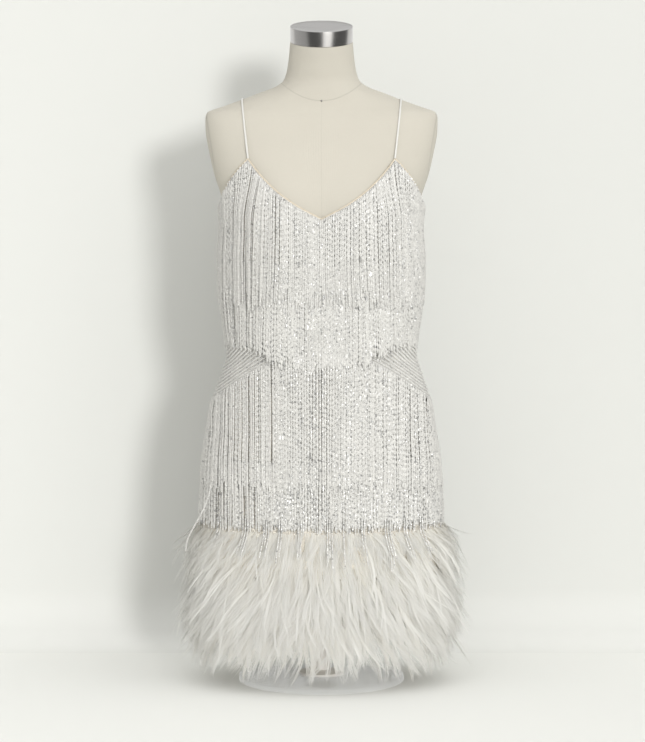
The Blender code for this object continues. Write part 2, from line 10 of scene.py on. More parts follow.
import bpy
import numpy as np
from bpy.props import FloatProperty, FloatVectorProperty, IntProperty, PointerProperty
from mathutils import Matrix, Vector


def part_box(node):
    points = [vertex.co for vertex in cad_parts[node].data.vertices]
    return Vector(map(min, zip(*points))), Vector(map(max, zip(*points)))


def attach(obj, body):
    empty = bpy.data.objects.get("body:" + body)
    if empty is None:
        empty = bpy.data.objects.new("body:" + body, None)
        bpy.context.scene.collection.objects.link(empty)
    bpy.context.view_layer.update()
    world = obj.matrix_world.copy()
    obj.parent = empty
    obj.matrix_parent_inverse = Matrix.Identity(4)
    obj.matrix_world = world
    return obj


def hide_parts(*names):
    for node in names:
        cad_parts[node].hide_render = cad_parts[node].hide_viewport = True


bl_info = {
    "name": "Flapper Dress on a Dress Form",
    "version": (1, 0, 0),
    "blender": (4, 5, 0),
    "location": "3D View > Sidebar > Flapper Dress",
    "description": "Builds the form, the dress, its bead fringe and its feather hem",
    "category": "Object",
}

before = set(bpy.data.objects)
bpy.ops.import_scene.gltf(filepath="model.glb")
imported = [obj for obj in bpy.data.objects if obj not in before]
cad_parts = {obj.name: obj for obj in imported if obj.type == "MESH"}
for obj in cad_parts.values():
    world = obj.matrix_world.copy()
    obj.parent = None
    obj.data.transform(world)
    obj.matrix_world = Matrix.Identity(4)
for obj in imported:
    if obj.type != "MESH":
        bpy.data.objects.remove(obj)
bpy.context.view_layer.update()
BODY = "root"
SEED = 21

# ---------------------------------------------------------------- the form's and the cloth's sizes
FORM_GAP = 0.0027
CLOTH_WALL = 0.0018
SEAM_GAP = 0.0003

# Horizontal sections. A squareness of 2 is an ellipse, and more than 2 is boxier.
FORM_FIELDS = "height half_width front back squareness lean"
FORM_SECTIONS = (
    (0.150, 0.168, 0.104, 0.106, 2.30, 0.000),
    (0.190, 0.171, 0.106, 0.110, 2.30, 0.000),
    (0.230, 0.1735, 0.108, 0.114, 2.30, 0.000),
    (0.270, 0.173, 0.110, 0.118, 2.30, 0.000),
    (0.310, 0.170, 0.112, 0.120, 2.30, 0.000),
    (0.350, 0.166, 0.112, 0.117, 2.28, 0.000),
    (0.390, 0.161, 0.110, 0.109, 2.25, 0.000),
    (0.430, 0.154, 0.105, 0.097, 2.20, 0.000),
    (0.465, 0.142, 0.099, 0.086, 2.15, 0.000),
    (0.495, 0.133, 0.096, 0.081, 2.12, 0.000),
    (0.530, 0.135, 0.100, 0.080, 2.15, 0.000),
    (0.570, 0.142, 0.107, 0.083, 2.20, 0.000),
    (0.610, 0.144, 0.115, 0.087, 2.25, 0.000),
    (0.650, 0.144, 0.120, 0.091, 2.30, 0.000),
    (0.690, 0.143, 0.121, 0.096, 2.40, 0.000),
    (0.730, 0.149, 0.116, 0.101, 2.70, 0.000),
    (0.765, 0.160, 0.104, 0.102, 3.00, 0.000),
    (0.800, 0.168, 0.089, 0.098, 3.10, 0.000),
    (0.830, 0.173, 0.076, 0.090, 3.00, 0.000),
    (0.848, 0.1735, 0.068, 0.082, 2.70, 0.000),
    (0.857, 0.171, 0.063, 0.077, 2.40, 0.000),
    (0.866, 0.148, 0.060, 0.074, 2.15, 0.000),
    (0.876, 0.120, 0.058, 0.071, 2.05, 0.000),
    (0.886, 0.094, 0.057, 0.068, 2.00, 0.000),
    (0.896, 0.068, 0.056, 0.063, 2.00, 0.000),
    (0.905, 0.0565, 0.053, 0.058, 2.00, -0.001),
    (0.920, 0.0515, 0.051, 0.052, 2.00, -0.004),
    (0.940, 0.0485, 0.048, 0.048, 2.00, -0.008),
    (0.9625, 0.0465, 0.0465, 0.0465, 2.00, -0.012),
)
FORM_BOTTOM_Z = 0.150
FORM_BOTTOM_ROUND = 0.006
NECK_TOP_Z = 0.9625
NECK_BASE_Z = 0.905
NECK_TILT = math.radians(13.0)
BUST_APEX_X = 0.076
BUST_APEX_Z = 0.668
BUST_RISE = 0.026
BUST_SPREAD_X = 0.042
BUST_SPREAD_Z = 0.050

# What the cloth stands off the form beyond its gap and wall.
HEM_Z = 0.172
EASE_FIELDS = "height side front back"
DRESS_EASE = (
    (HEM_Z, 0.003, 0.010, 0.010),
    (0.230, 0.002, 0.005, 0.004),
    (0.310, 0.001, 0.002, 0.001),
    (0.390, 0.001, 0.004, 0.003),
    (0.430, 0.001, 0.009, 0.008),
    (0.495, 0.002, 0.020, 0.014),
    (0.550, 0.001, 0.018, 0.011),
    (0.600, 0.000, 0.009, 0.006),
    (0.650, 0.000, 0.001, 0.002),
    (0.690, 0.000, 0.000, 0.000),
    (0.900, 0.000, 0.000, 0.000),
)
FAN_Z = 0.636             # strands and grain spread from here up to the shaped top edge
PEAK_X = 0.108
PEAK_Z = 0.789
PEAK_QUARTER = 0.5
NECK_POINT_Z = 0.702
NECK_STRAIGHT = 0.62
UNDERARM_Z = 0.716
ARMHOLE_HOLLOW = 1.42
BACK_STRAP_QUARTER = 1.6
BACK_STRAP_Z = 0.744
BACK_CENTRE_Z = 0.732

HIP_LINE_Z = 0.509        # the third tier's root line at the centre
HIP_LINE_DROP = 0.076     # and how much lower it runs at the sides
HIP_LINE_POWER = 1.2

# Soft vertical troughs in the cloth, by their place round the dress.
Crease = namedtuple("Crease", "around low high width depth")
CREASES = tuple(Crease(*row) for row in (
    (0.16, 0.180, 0.330, 0.011, 0.0011),
    (0.41, 0.175, 0.290, 0.016, 0.0009),
    (0.70, 0.200, 0.390, 0.012, 0.0012),
    (0.93, 0.430, 0.560, 0.014, 0.0010),
    (1.22, 0.178, 0.310, 0.015, 0.0012),
    (1.55, 0.190, 0.350, 0.010, 0.0009),
    (1.78, 0.430, 0.600, 0.013, 0.0011),
    (2.08, 0.176, 0.300, 0.012, 0.0010),
    (2.31, 0.420, 0.590, 0.016, 0.0012),
    (2.60, 0.182, 0.340, 0.011, 0.0009),
    (2.95, 0.440, 0.570, 0.013, 0.0011),
    (3.24, 0.185, 0.360, 0.014, 0.0012),
    (3.62, 0.175, 0.280, 0.011, 0.0009),
    (3.85, 0.210, 0.380, 0.015, 0.0010),
))
QUARTER_LENGTH = 0.24     # about a quarter of the way round the dress


# ---------------------------------------------------------------- section tables and surfaces
def smooth_step(share):
    share = np.clip(share, 0.0, 1.0)
    return share * share * (3.0 - 2.0 * share)


def unit(vectors):
    return vectors / np.linalg.norm(vectors, axis=-1, keepdims=True)


def length_along(points):
    """How far each point lies along a line of points."""
    steps = np.linalg.norm(np.diff(points, axis=0), axis=1)
    return np.concatenate(([0.0], np.cumsum(steps)))


def curve_between(low, high, low_slope, high_slope, span, share):
    """A smooth curve over a span, from one value and slope to the next."""
    stay = 1.0 - share
    return (
        low * (1.0 + 2.0 * share) * stay ** 2
        + high * (3.0 - 2.0 * share) * share ** 2
        + low_slope * span * share * stay ** 2
        - high_slope * span * share ** 2 * stay
    )


class SectionTable:
    """Reads rows of sizes by height, on curves that never overshoot the rows."""

    def __init__(self, fields, rows):
        self.row_type = namedtuple("Section", fields)
        self.rows = np.array(rows)
        self.heights = self.rows[:, 0]
        rises = np.diff(self.rows, axis=0) / np.diff(self.heights)[:, None]
        self.slopes = np.zeros_like(self.rows)
        self.slopes[0] = rises[0]
        self.slopes[-1] = rises[-1]
        same_way = rises[:-1] * rises[1:] > 0.0
        total = np.where(same_way, rises[:-1] + rises[1:], 1.0)
        self.slopes[1:-1] = np.where(same_way, 2.0 * rises[:-1] * rises[1:] / total, 0.0)

    def at(self, height):
        height = np.clip(height, self.heights[0], self.heights[-1])
        above = np.clip(np.searchsorted(self.heights, height), 1, len(self.heights) - 1)
        span = (self.heights[above] - self.heights[above - 1])[..., None]
        share = (height - self.heights[above - 1])[..., None] / span
        values = curve_between(
            self.rows[above - 1], self.rows[above], self.slopes[above - 1], self.slopes[above], span, share)
        return self.row_type(*np.moveaxis(values, -1, 0))


FORM = SectionTable(FORM_FIELDS, FORM_SECTIONS)
EASE = SectionTable(EASE_FIELDS, DRESS_EASE)


def bust_rise(x, height):
    along = ((np.abs(x) - BUST_APEX_X) / BUST_SPREAD_X) ** 2
    up = ((height - BUST_APEX_Z) / BUST_SPREAD_Z) ** 2
    return BUST_RISE * np.exp(-0.5 * (along + up))


def figure_point(turn, height, side=0.0, front=0.0, back=0.0):
    """Points round the figure: turn 0 is centre front and a quarter turn is +X."""
    section = FORM.at(height)
    power = 2.0 / section.squareness
    across = np.abs(np.sin(turn)) ** power
    depth = np.abs(np.cos(turn)) ** power
    x = np.sign(np.sin(turn)) * (section.half_width + side) * across
    forward = (section.front + front + bust_rise(x, height)) * depth
    backward = (section.back + back) * depth
    y = section.lean + np.where(np.cos(turn) > 0.0, -forward, backward)
    return np.stack((x, y, height), axis=-1)


def turn_at(x, height):
    """The turn at which the front of the cloth reaches a sideways distance."""
    section = FORM.at(height)
    half_width = section.half_width + FORM_GAP + CLOTH_WALL + EASE.at(height).side
    return np.arcsin(np.minimum(np.abs(x) / half_width, 1.0) ** (section.squareness / 2.0))


def fold(around):
    """The quarter from centre front (0) to centre back (2), and the side of the dress."""
    around = np.mod(around, 4.0)
    left = around <= 2.0
    return np.where(left, around, 4.0 - around), np.where(left, 1.0, -1.0)


def top_edge(quarter):
    """The turn and height of the cloth's top edge."""
    share = np.clip(quarter / PEAK_QUARTER, 0.0, 1.0)
    rise = NECK_STRAIGHT * share + (1.0 - NECK_STRAIGHT) * share ** 3
    neck_z = NECK_POINT_Z + (PEAK_Z - NECK_POINT_Z) * rise
    neck_turn = turn_at(PEAK_X * share, neck_z)
    share = np.clip((quarter - PEAK_QUARTER) / (1.0 - PEAK_QUARTER), 0.0, 1.0)
    peak_turn = turn_at(np.array(PEAK_X), np.array(PEAK_Z))
    arm_z = UNDERARM_Z + (PEAK_Z - UNDERARM_Z) * (1.0 - share) ** ARMHOLE_HOLLOW
    arm_turn = peak_turn + (math.pi / 2.0 - peak_turn) * share
    share = smooth_step((quarter - 1.0) / (BACK_STRAP_QUARTER - 1.0))
    wing_z = UNDERARM_Z + (BACK_STRAP_Z - UNDERARM_Z) * share
    share = smooth_step((quarter - BACK_STRAP_QUARTER) / (2.0 - BACK_STRAP_QUARTER))
    back_z = BACK_STRAP_Z + (BACK_CENTRE_Z - BACK_STRAP_Z) * share
    stretches = [quarter <= PEAK_QUARTER, quarter <= 1.0, quarter <= BACK_STRAP_QUARTER]
    back_turn = quarter * math.pi / 2.0
    turn = np.select(stretches, [neck_turn, arm_turn, back_turn], back_turn)
    return turn, np.select(stretches, [neck_z, arm_z, wing_z], back_z)


def edge_height(around):
    return top_edge(fold(around)[0])[1]


def hip_line(around):
    """The third tier's root line, high at the centre and low at the sides."""
    aside = (1.0 - np.cos(math.pi * fold(around)[0])) / 2.0
    return HIP_LINE_Z - HIP_LINE_DROP * aside ** HIP_LINE_POWER


def cloth_turn(around, height):
    """The turn that a place round the dress has at a height, spread at the top to fit its edge."""
    around, height = np.broadcast_arrays(np.asarray(around, float), np.asarray(height, float))
    quarter, hand = fold(around)
    edge_turn, edge_z = top_edge(quarter)
    level = np.maximum(height, HEM_Z)
    turn = quarter * math.pi / 2.0
    turn = turn + (edge_turn - turn) * smooth_step((level - FAN_Z) / (edge_z - FAN_Z))
    return hand * turn


def on_cloth(turn, height):
    """Points on the outside of the cloth, straight down below its hem."""
    turn, height = np.broadcast_arrays(np.asarray(turn, float), np.asarray(height, float))
    level = np.maximum(height, HEM_Z)
    ease = EASE.at(level)
    skin = FORM_GAP + CLOTH_WALL
    points = figure_point(turn, level, skin + ease.side, skin + ease.front, skin + ease.back)
    points[..., 2] = height
    return points


def level_run(turn, height):
    """How far a point moves over the cloth for each radian of turn."""
    nearby = 0.006
    return (on_cloth(turn + nearby, height) - on_cloth(turn - nearby, height)) / (2.0 * nearby)


def off_cloth(turn, height, out):
    """Points at a level distance out from the cloth, and the outward directions there."""
    run = level_run(turn, height)
    normal = unit(np.stack((run[..., 1], -run[..., 0], np.zeros(run.shape[:-1])), axis=-1))
    out = np.broadcast_to(out, run.shape[:-1])
    return on_cloth(turn, height) + normal * out[..., None], normal


def off_place(around, height, out):
    """Points off the cloth by their place round the dress, and the outward directions there."""
    return off_cloth(cloth_turn(around, height), height, out)


EVEN_ABOVE_TIPS = 0.03    # strands are evenly spaced this far above their tips
WISPS_EVEN_Z = 0.2        # and wisps at this height


def even_turns(count, height):
    """Turns at even distances round the dress at a height."""
    fine = np.linspace(-math.pi, math.pi, 1601)
    length = length_along(on_cloth(fine, height))
    return np.interp((np.arange(count) + 0.5) / count * length[-1], length, fine)


# ---------------------------------------------------------------- meshes from arrays
def select_only(piece):
    bpy.ops.object.select_all(action="DESELECT")
    piece.select_set(True)
    bpy.context.view_layer.objects.active = piece


def mesh_object(name, points, faces, material, smooth=True):
    """An object at the origin. faces is a list of arrays, each of faces with as many corners."""
    corners = np.concatenate([part.ravel() for part in faces])
    sizes = np.concatenate([np.full(len(part), part.shape[1]) for part in faces])
    mesh = bpy.data.meshes.new(name)
    mesh.vertices.add(len(points))
    mesh.vertices.foreach_set("co", np.ascontiguousarray(points, np.float32).ravel())
    mesh.loops.add(len(corners))
    mesh.loops.foreach_set("vertex_index", corners.astype(np.int32))
    mesh.polygons.add(len(sizes))
    starts = np.concatenate(([0], np.cumsum(sizes)[:-1]))
    mesh.polygons.foreach_set("loop_start", starts.astype(np.int32))
    mesh.polygons.foreach_set("use_smooth", np.full(len(sizes), smooth))
    mesh.update(calc_edges=True)
    mesh.materials.append(material)
    piece = bpy.data.objects.new(name, mesh)
    bpy.context.scene.collection.objects.link(piece)
    return piece


def set_values(piece, name, values):
    """Keeps a number for each vertex, for the material to read."""
    attribute = piece.data.attributes.new(name, "FLOAT", "POINT")
    attribute.data.foreach_set("value", np.ascontiguousarray(values, np.float32))


def set_uv(piece, name, corner_uv):
    layer = piece.data.uv_layers.new(name=name)
    layer.data.foreach_set("uv", np.ascontiguousarray(corner_uv, np.float32).ravel())


def grid_faces(rows, columns, closed):
    """A grid's quads, and the row and column of each of their corners."""
    wide = columns if closed else columns - 1
    row, column = np.meshgrid(np.arange(rows - 1), np.arange(wide), indexing="ij")
    corner_rows = np.stack((row, row, row + 1, row + 1), axis=-1).reshape(-1, 4)
    corner_columns = np.stack((column, column + 1, column + 1, column), axis=-1).reshape(-1, 4)
    return corner_rows * columns + corner_columns % columns, corner_rows, corner_columns


def apply_modifier(piece, kind, **settings):
    select_only(piece)
    modifier = piece.modifiers.new(kind.lower(), kind)
    for key, value in settings.items():
        setattr(modifier, key, value)
    bpy.ops.object.modifier_apply(modifier=modifier.name)


def finish_piece(piece, slot, *nodes):
    """Lets a piece ride on the frame's body in place of the nodes that it finishes."""
    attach(piece, BODY)
    if nodes:
        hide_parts(*nodes)
    return piece


# ---------------------------------------------------------------- random numbers
def scatter(chance, least, spread, size=None):
    """Random numbers from the least one up to a spread above it."""
    return least + spread * chance.random(size)


def centred(chance, size):
    """Random numbers from -0.5 to 0.5."""
    return chance.random(size) - 0.5


# ---------------------------------------------------------------- shader helpers
def add_node(tree, kind, sockets=None, **fields):
    node = tree.nodes.new("ShaderNode" + kind)
    for key, value in fields.items():
        setattr(node, key, value)
    for key, value in (sockets or {}).items():
        connect(tree, node.inputs[key], value)
    return node


def connect(tree, socket, value):
    """Sets a socket to a number or colour, or links it to another socket."""
    if isinstance(value, bpy.types.NodeSocket):
        tree.links.new(value, socket)
    else:
        socket.default_value = value


def maths(tree, operation, *values):
    node = tree.nodes.new("ShaderNodeMath")
    node.operation = operation
    for socket, value in zip(node.inputs, values):
        connect(tree, socket, value)
    return node.outputs[0]


def mix_colour(tree, share, first, second, blend="MIX"):
    node = add_node(tree, "MixRGB", blend_type=blend)
    for socket, value in zip(node.inputs, (share, first, second)):
        connect(tree, socket, value)
    return node.outputs[0]


def mix_shaders(tree, share, first, second):
    mix = add_node(tree, "MixShader", {"Fac": share})
    tree.links.new(first, mix.inputs[1])
    tree.links.new(second, mix.inputs[2])
    return mix.outputs[0]


def set_surface(tree, shader, output="Material Output"):
    tree.links.new(shader, tree.nodes[output].inputs["Surface"])


def new_material(name, roughness, metallic=0.0):
    material = bpy.data.materials.new(name)
    material.use_nodes = True
    tree = material.node_tree
    shader = tree.nodes["Principled BSDF"]
    shader.inputs["Roughness"].default_value = roughness
    shader.inputs["Metallic"].default_value = metallic
    return material, tree, shader


def new_group(name, inputs, outputs):
    """A shader node group with float or vector sockets: (name, default) for each input."""
    group = bpy.data.node_groups.new(name, "ShaderNodeTree")
    for label, default in inputs:
        kind = "NodeSocketVector" if default is None else "NodeSocketFloat"
        socket = group.interface.new_socket(label, in_out="INPUT", socket_type=kind)
        if default is not None:
            socket.default_value = default
    for label in outputs:
        group.interface.new_socket(label, in_out="OUTPUT", socket_type="NodeSocketFloat")
    enter = group.nodes.new("NodeGroupInput")
    leave = group.nodes.new("NodeGroupOutput")
    return group, enter.outputs, leave.inputs


def use_group(tree, group, **sockets):
    node = add_node(tree, "Group", node_tree=group)
    for key, value in sockets.items():
        connect(tree, node.inputs[key], value)
    return node.outputs


def place_in_object(tree):
    return add_node(tree, "TexCoord").outputs["Object"]


def round_one(group, noise, contrast):
    """A tone round 1 from a noise round 0.5."""
    swing = maths(group, "SUBTRACT", noise, 0.5)
    return maths(group, "MULTIPLY_ADD", swing, maths(group, "MULTIPLY", contrast, 2.0), 1.0)


WAVE_METRE = math.tau / 20.0    # the scale at which a wave texture has one band to the metre
WAVE_WOBBLE = 1.2
SLUB_SCALE = 260.0
WEAVE_MIDDLE = 0.8              # the weave's mean height, where its tone is 1


def weave_group():
    """Crossing threads with slubs: Height for bump, Tone for the shade between threads."""
    name = "thread_weave"
    if name in bpy.data.node_groups:
        return bpy.data.node_groups[name]
    inputs = (("Vector", None), ("Threads", 1000.0), ("Depth", 0.2))
    group, enter, leave = new_group(name, inputs, ("Height", "Tone"))
    waves = []
    for direction in ("X", "Y"):
        wave = add_node(group, "TexWave", bands_direction=direction)
        wave.inputs["Distortion"].default_value = WAVE_WOBBLE
        wave.inputs["Detail"].default_value = 1.0
        group.links.new(enter["Vector"], wave.inputs["Vector"])
        scale = maths(group, "MULTIPLY", enter["Threads"], WAVE_METRE)
        group.links.new(scale, wave.inputs["Scale"])
        waves.append(wave.outputs["Fac"])
    height = maths(group, "MAXIMUM", *waves)
    slubs = add_node(group, "TexNoise", {"Vector": enter["Vector"], "Scale": SLUB_SCALE, "Detail": 2.0})
    rough = maths(group, "MULTIPLY", height, maths(group, "ADD", slubs.outputs["Fac"], 0.5))
    group.links.new(rough, leave["Height"])
    shade = maths(group, "MULTIPLY", maths(group, "SUBTRACT", rough, WEAVE_MIDDLE), enter["Depth"])
    group.links.new(maths(group, "ADD", shade, 1.0), leave["Tone"])
    return group


def patches_group():
    """Broad soft changes of tone round 1."""
    name = "soft_patches"
    if name in bpy.data.node_groups:
        return bpy.data.node_groups[name]
    inputs = (("Vector", None), ("Patches", 8.0), ("Contrast", 0.1))
    group, enter, leave = new_group(name, inputs, ("Tone",))
    noise = add_node(group, "TexNoise", {"Vector": enter["Vector"], "Scale": enter["Patches"], "Detail": 3.0})
    group.links.new(round_one(group, noise.outputs["Fac"], enter["Contrast"]), leave["Tone"])
    return group


BRUSH_ACROSS = 12.0       # how little the brushed lines change along their way


def brushed_group():
    """Fine lines that run level round a turned metal piece."""
    name = "brushed_lines"
    if name in bpy.data.node_groups:
        return bpy.data.node_groups[name]
    inputs = (("Vector", None), ("Lines", 2500.0), ("Contrast", 0.1))
    group, enter, leave = new_group(name, inputs, ("Height", "Tone"))
    parts = add_node(group, "SeparateXYZ", {"Vector": enter["Vector"]})
    level = maths(group, "MULTIPLY", parts.outputs["Z"], enter["Lines"])
    squeezed = add_node(group, "CombineXYZ", {"Z": level})
    for axis in ("X", "Y"):
        across = maths(group, "MULTIPLY", parts.outputs[axis], BRUSH_ACROSS)
        group.links.new(across, squeezed.inputs[axis])
    noise = add_node(group, "TexNoise", {"Vector": squeezed.outputs[0], "Scale": 1.0, "Detail": 3.0})
    group.links.new(noise.outputs["Fac"], leave["Height"])
    group.links.new(round_one(group, noise.outputs["Fac"], enter["Contrast"]), leave["Tone"])
    return group


def set_colour(tree, shader, colour, *tones):
    """Links a colour, multiplied by varying tones, to the shader."""
    product = tones[0]
    for tone in tones[1:]:
        product = maths(tree, "MULTIPLY", product, tone)
    tree.links.new(mix_colour(tree, 1.0, colour, product, "MULTIPLY"), shader.inputs["Base Color"])


def set_bump(tree, shader, height, depth):
    bump = add_node(tree, "Bump", {"Height": height, "Strength": 1.0, "Distance": depth})
    tree.links.new(bump.outputs["Normal"], shader.inputs["Normal"])


def opaque(colour):
    return (colour[0], colour[1], colour[2], 1.0)


# ---------------------------------------------------------------- settings
def colour_setting(name, description, default):
    return FloatVectorProperty(
        name=name, description=description, subtype="COLOR", default=default, min=0.0, max=1.0)


def length_setting(name, description, default, least=0.0):
    return FloatProperty(
        name=name, description=description, subtype="DISTANCE", unit="LENGTH", default=default, min=least)


class FormSettings(bpy.types.PropertyGroup):
    """Sizes and colours of the dress form and its stand."""

    linen_colour: colour_setting("Linen", "Colour of the form's cover", (0.490, 0.462, 0.400))
    steel_colour: colour_setting("Steel", "Colour of the neck cap and the post", (0.600, 0.585, 0.560))
    glass_colour: colour_setting("Glass", "Tint of the base plate", (0.960, 0.985, 0.980))
    cap_edge: length_setting("Cap edge", "Rounding of the neck cap's edges", 0.0012)
    plate_edge: length_setting("Plate edge", "Rounding of the base plate's edges", 0.0015)


class ClothSettings(bpy.types.PropertyGroup):
    """Sizes and colours of the dress's cloth, binding and straps."""

    net_colour: colour_setting("Beaded net", "Colour of the net under the fringe", (0.800, 0.755, 0.675))
    satin_colour: colour_setting("Satin", "Colour of the straps", (0.590, 0.583, 0.550))
    # painted shadow: the binding's golden-beige colour also draws the thin shadow line along the top edge
    binding_edge_shade_colour: colour_setting("Binding", "Colour of the top edge's binding", (0.600, 0.520, 0.395))
    cloth_columns: IntProperty(
        name="Columns", description="Columns of quads in each cloth panel", default=72, min=12)
    cloth_rows: IntProperty(
        name="Rows", description="Rows of quads in each cloth panel", default=60, min=12)


class FringeSettings(bpy.types.PropertyGroup):
    """Sizes and colours of the strung beads."""

    bead_pitch: length_setting("Pitch", "Distance between beads on a strand", 0.0026, 0.0015)
    bead_length: length_setting("Length", "Length of a bead", 0.0037)
    bead_radius: length_setting("Radius", "Radius of a bead", 0.00172)
    white_colour: colour_setting("White bead", "Colour of the white glass beads", (0.630, 0.619, 0.588))
    silver_colour: colour_setting("Silver bead", "Colour of the silver-lined beads", (0.800, 0.800, 0.790))


class FeatherSettings(bpy.types.PropertyGroup):
    """Sizes and colours of the feather hem."""

    feather_colour: colour_setting("Feather", "Colour of the outer barbs", (0.751, 0.746, 0.722))
    # painted shade: the warmer colour that deep wisps and barb roots take, standing in for the shade inside
    # the trim
    painted_shade_colour: colour_setting("Inner feather", "Colour deep inside the trim", (0.785, 0.766, 0.714))
    barb_width: length_setting("Barb", "Width of a barb at its root", 0.0011)
    barbs: IntProperty(name="Barbs", description="Barbs in each wisp", default=10, min=3)


class StageSettings(bpy.types.PropertyGroup):
    """Colours and strengths of the stage and its light."""

    paper_colour: colour_setting("Paper", "Colour of the backdrop", (0.585, 0.587, 0.562))
    floor_colour: colour_setting("Floor", "Colour of the floor", (0.760, 0.762, 0.734))
    key_strength: FloatProperty(name="Key", description="Strength of the key light", default=1.60)
    top_strength: FloatProperty(name="Top", description="Strength of the top light", default=0.85)
    fill_power: FloatProperty(name="Fill", description="Power of the low fill light, in watts", default=4.0)
    sky_strength: FloatProperty(name="Sky", description="Strength of the soft light", default=0.90)


SETTINGS = {
    "dress_form": FormSettings,
    "dress_cloth": ClothSettings,
    "dress_fringe": FringeSettings,
    "dress_feathers": FeatherSettings,
    "dress_stage": StageSettings,
}


# ---------------------------------------------------------------- dress form
FORM_COLUMNS = 112
FORM_LOW_ROWS = 60        # under the dress
FORM_HIGH_ROWS = 110      # above it, where the form shows
FORM_BOTTOM_RINGS = 4
FORM_SHARP_FROM = math.radians(50.0)
SEAM_WIDTH = 0.0014
SEAM_TONE = -0.15
SEAM_SINK = -2.2          # beside the weave's own height
LINEN_RELIEF = 0.00012
CENTRE_SEAM = 0.22        # how far the centre seam shows beside the others
NECK_SEAM_Z = 0.874       # the seam round the neck at centre front
NECK_SEAM_RISE = 7.4      # and how it climbs with the square of the distance from there
PLATE_CENTRE_Y = 0.004    # the oval covers where the arms would start
PLATE_CENTRE_Z = 0.793
PLATE_HALF_DEPTH = 0.047
PLATE_HALF_HEIGHT = 0.064
ARM_SIDE_X = 0.120
RIM_FINENESS = 0.45       # the ovals' rims are broader than the other seams


def linen_material(settings):
    material, tree, shader = new_material("form_linen", 0.88)
    surface = add_node(tree, "UVMap", uv_map="surface").outputs["UV"]
    place = place_in_object(tree)
    weave = use_group(tree, weave_group(), Vector=surface, Threads=900.0, Depth=0.04)
    patches = use_group(tree, patches_group(), Vector=place, Patches=9.0, Contrast=0.05)
    parts = add_node(tree, "SeparateXYZ", {"Vector": place})
    x, y, z = (parts.outputs[axis] for axis in "XYZ")
    in_front = maths(tree, "LESS_THAN", y, 0.0)
    aside = maths(tree, "ABSOLUTE", x)
    climb = maths(tree, "MULTIPLY", maths(tree, "POWER", aside, 2.0), NECK_SEAM_RISE)
    seam_z = maths(tree, "ADD", climb, NECK_SEAM_Z)
    off_neck = maths(tree, "ABSOLUTE", maths(tree, "SUBTRACT", z, seam_z))
    neck = maths(tree, "MULTIPLY", seam_mask(tree, off_neck), in_front)
    below = maths(tree, "LESS_THAN", z, seam_z)
    centre = maths(tree, "MULTIPLY", maths(tree, "MULTIPLY", seam_mask(tree, aside), below), CENTRE_SEAM)
    deep = maths(tree, "DIVIDE", maths(tree, "SUBTRACT", y, PLATE_CENTRE_Y), PLATE_HALF_DEPTH)
    high = maths(tree, "DIVIDE", maths(tree, "SUBTRACT", z, PLATE_CENTRE_Z), PLATE_HALF_HEIGHT)
    squares = (maths(tree, "POWER", part, 2.0) for part in (deep, high))
    reach = maths(tree, "SQRT", maths(tree, "ADD", *squares))
    off_oval = maths(tree, "ABSOLUTE", maths(tree, "SUBTRACT", reach, 1.0))
    off_rim = maths(tree, "MULTIPLY", maths(tree, "MULTIPLY", off_oval, PLATE_HALF_DEPTH), RIM_FINENESS)
    rim = maths(tree, "MULTIPLY", seam_mask(tree, off_rim), maths(tree, "GREATER_THAN", aside, ARM_SIDE_X))
    seams = maths(tree, "MAXIMUM", maths(tree, "MAXIMUM", neck, centre), rim)
    shade = maths(tree, "MULTIPLY_ADD", seams, SEAM_TONE, 1.0)
    set_colour(tree, shader, opaque(settings.linen_colour), weave["Tone"], patches["Tone"], shade)
    height = maths(tree, "MULTIPLY_ADD", seams, SEAM_SINK, weave["Height"])
    set_bump(tree, shader, height, LINEN_RELIEF)
    shader.inputs["Specular IOR Level"].default_value = 0.25
    shader.inputs["Sheen Weight"].default_value = 0.08
    return material


def seam_mask(tree, distance):
    """1 on a seam's line and 0 a seam's width away."""
    near = maths(tree, "DIVIDE", distance, SEAM_WIDTH)
    return maths(tree, "SUBTRACT", 1.0, maths(tree, "MINIMUM", near, 1.0))


def form_ring(height, shrink=0.0):
    """A ring of the form, tilted forward up the neck."""
    turns = math.tau * np.arange(FORM_COLUMNS) / FORM_COLUMNS
    ring = figure_point(turns, np.full(FORM_COLUMNS, height), -shrink, -shrink, -shrink)
    tilt = NECK_TILT * smooth_step((height - NECK_BASE_Z) / (NECK_TOP_Z - NECK_BASE_Z))
    ring[:, 2] += math.tan(tilt) * (ring[:, 1] - FORM.at(np.array(height)).lean)
    return ring


def build_form_cover(settings):
    low = np.linspace(FORM_BOTTOM_Z + FORM_BOTTOM_ROUND, NECK_POINT_Z, FORM_LOW_ROWS)
    high = np.linspace(NECK_POINT_Z, NECK_TOP_Z, FORM_HIGH_ROWS + 1)[1:]
    rings = []
    for bend in np.linspace(0.0, math.pi / 2.0, FORM_BOTTOM_RINGS + 1)[:-1]:
        ring = form_ring(FORM_BOTTOM_Z, FORM_BOTTOM_ROUND * (1.0 - math.sin(bend)))
        ring[:, 2] = FORM_BOTTOM_Z + FORM_BOTTOM_ROUND * (1.0 - math.cos(bend))
        rings.append(ring)
    rings += [form_ring(height) for height in (*low, *high)]
    points = np.concatenate(rings)
    faces, rows, columns = grid_faces(len(rings), FORM_COLUMNS, closed=True)
    first = np.arange(FORM_COLUMNS)
    ends = np.stack((first[::-1], first + (len(rings) - 1) * FORM_COLUMNS))
    piece = mesh_object("form_cover", points, [faces, ends], linen_material(settings))
    girth = math.tau * FORM.at(np.array(UNDERARM_Z)).half_width
    heights = np.array([ring[:, 2].mean() for ring in rings])
    across = columns.ravel() * girth / FORM_COLUMNS
    corner_uv = np.stack((across, heights[rows.ravel()]), axis=-1)
    end_uv = points[ends.ravel()][:, :2]
    set_uv(piece, "surface", np.concatenate((corner_uv, end_uv)))
    piece.data.set_sharp_from_angle(angle=FORM_SHARP_FROM)
    return finish_piece(piece, "form_linen", "form_torso")


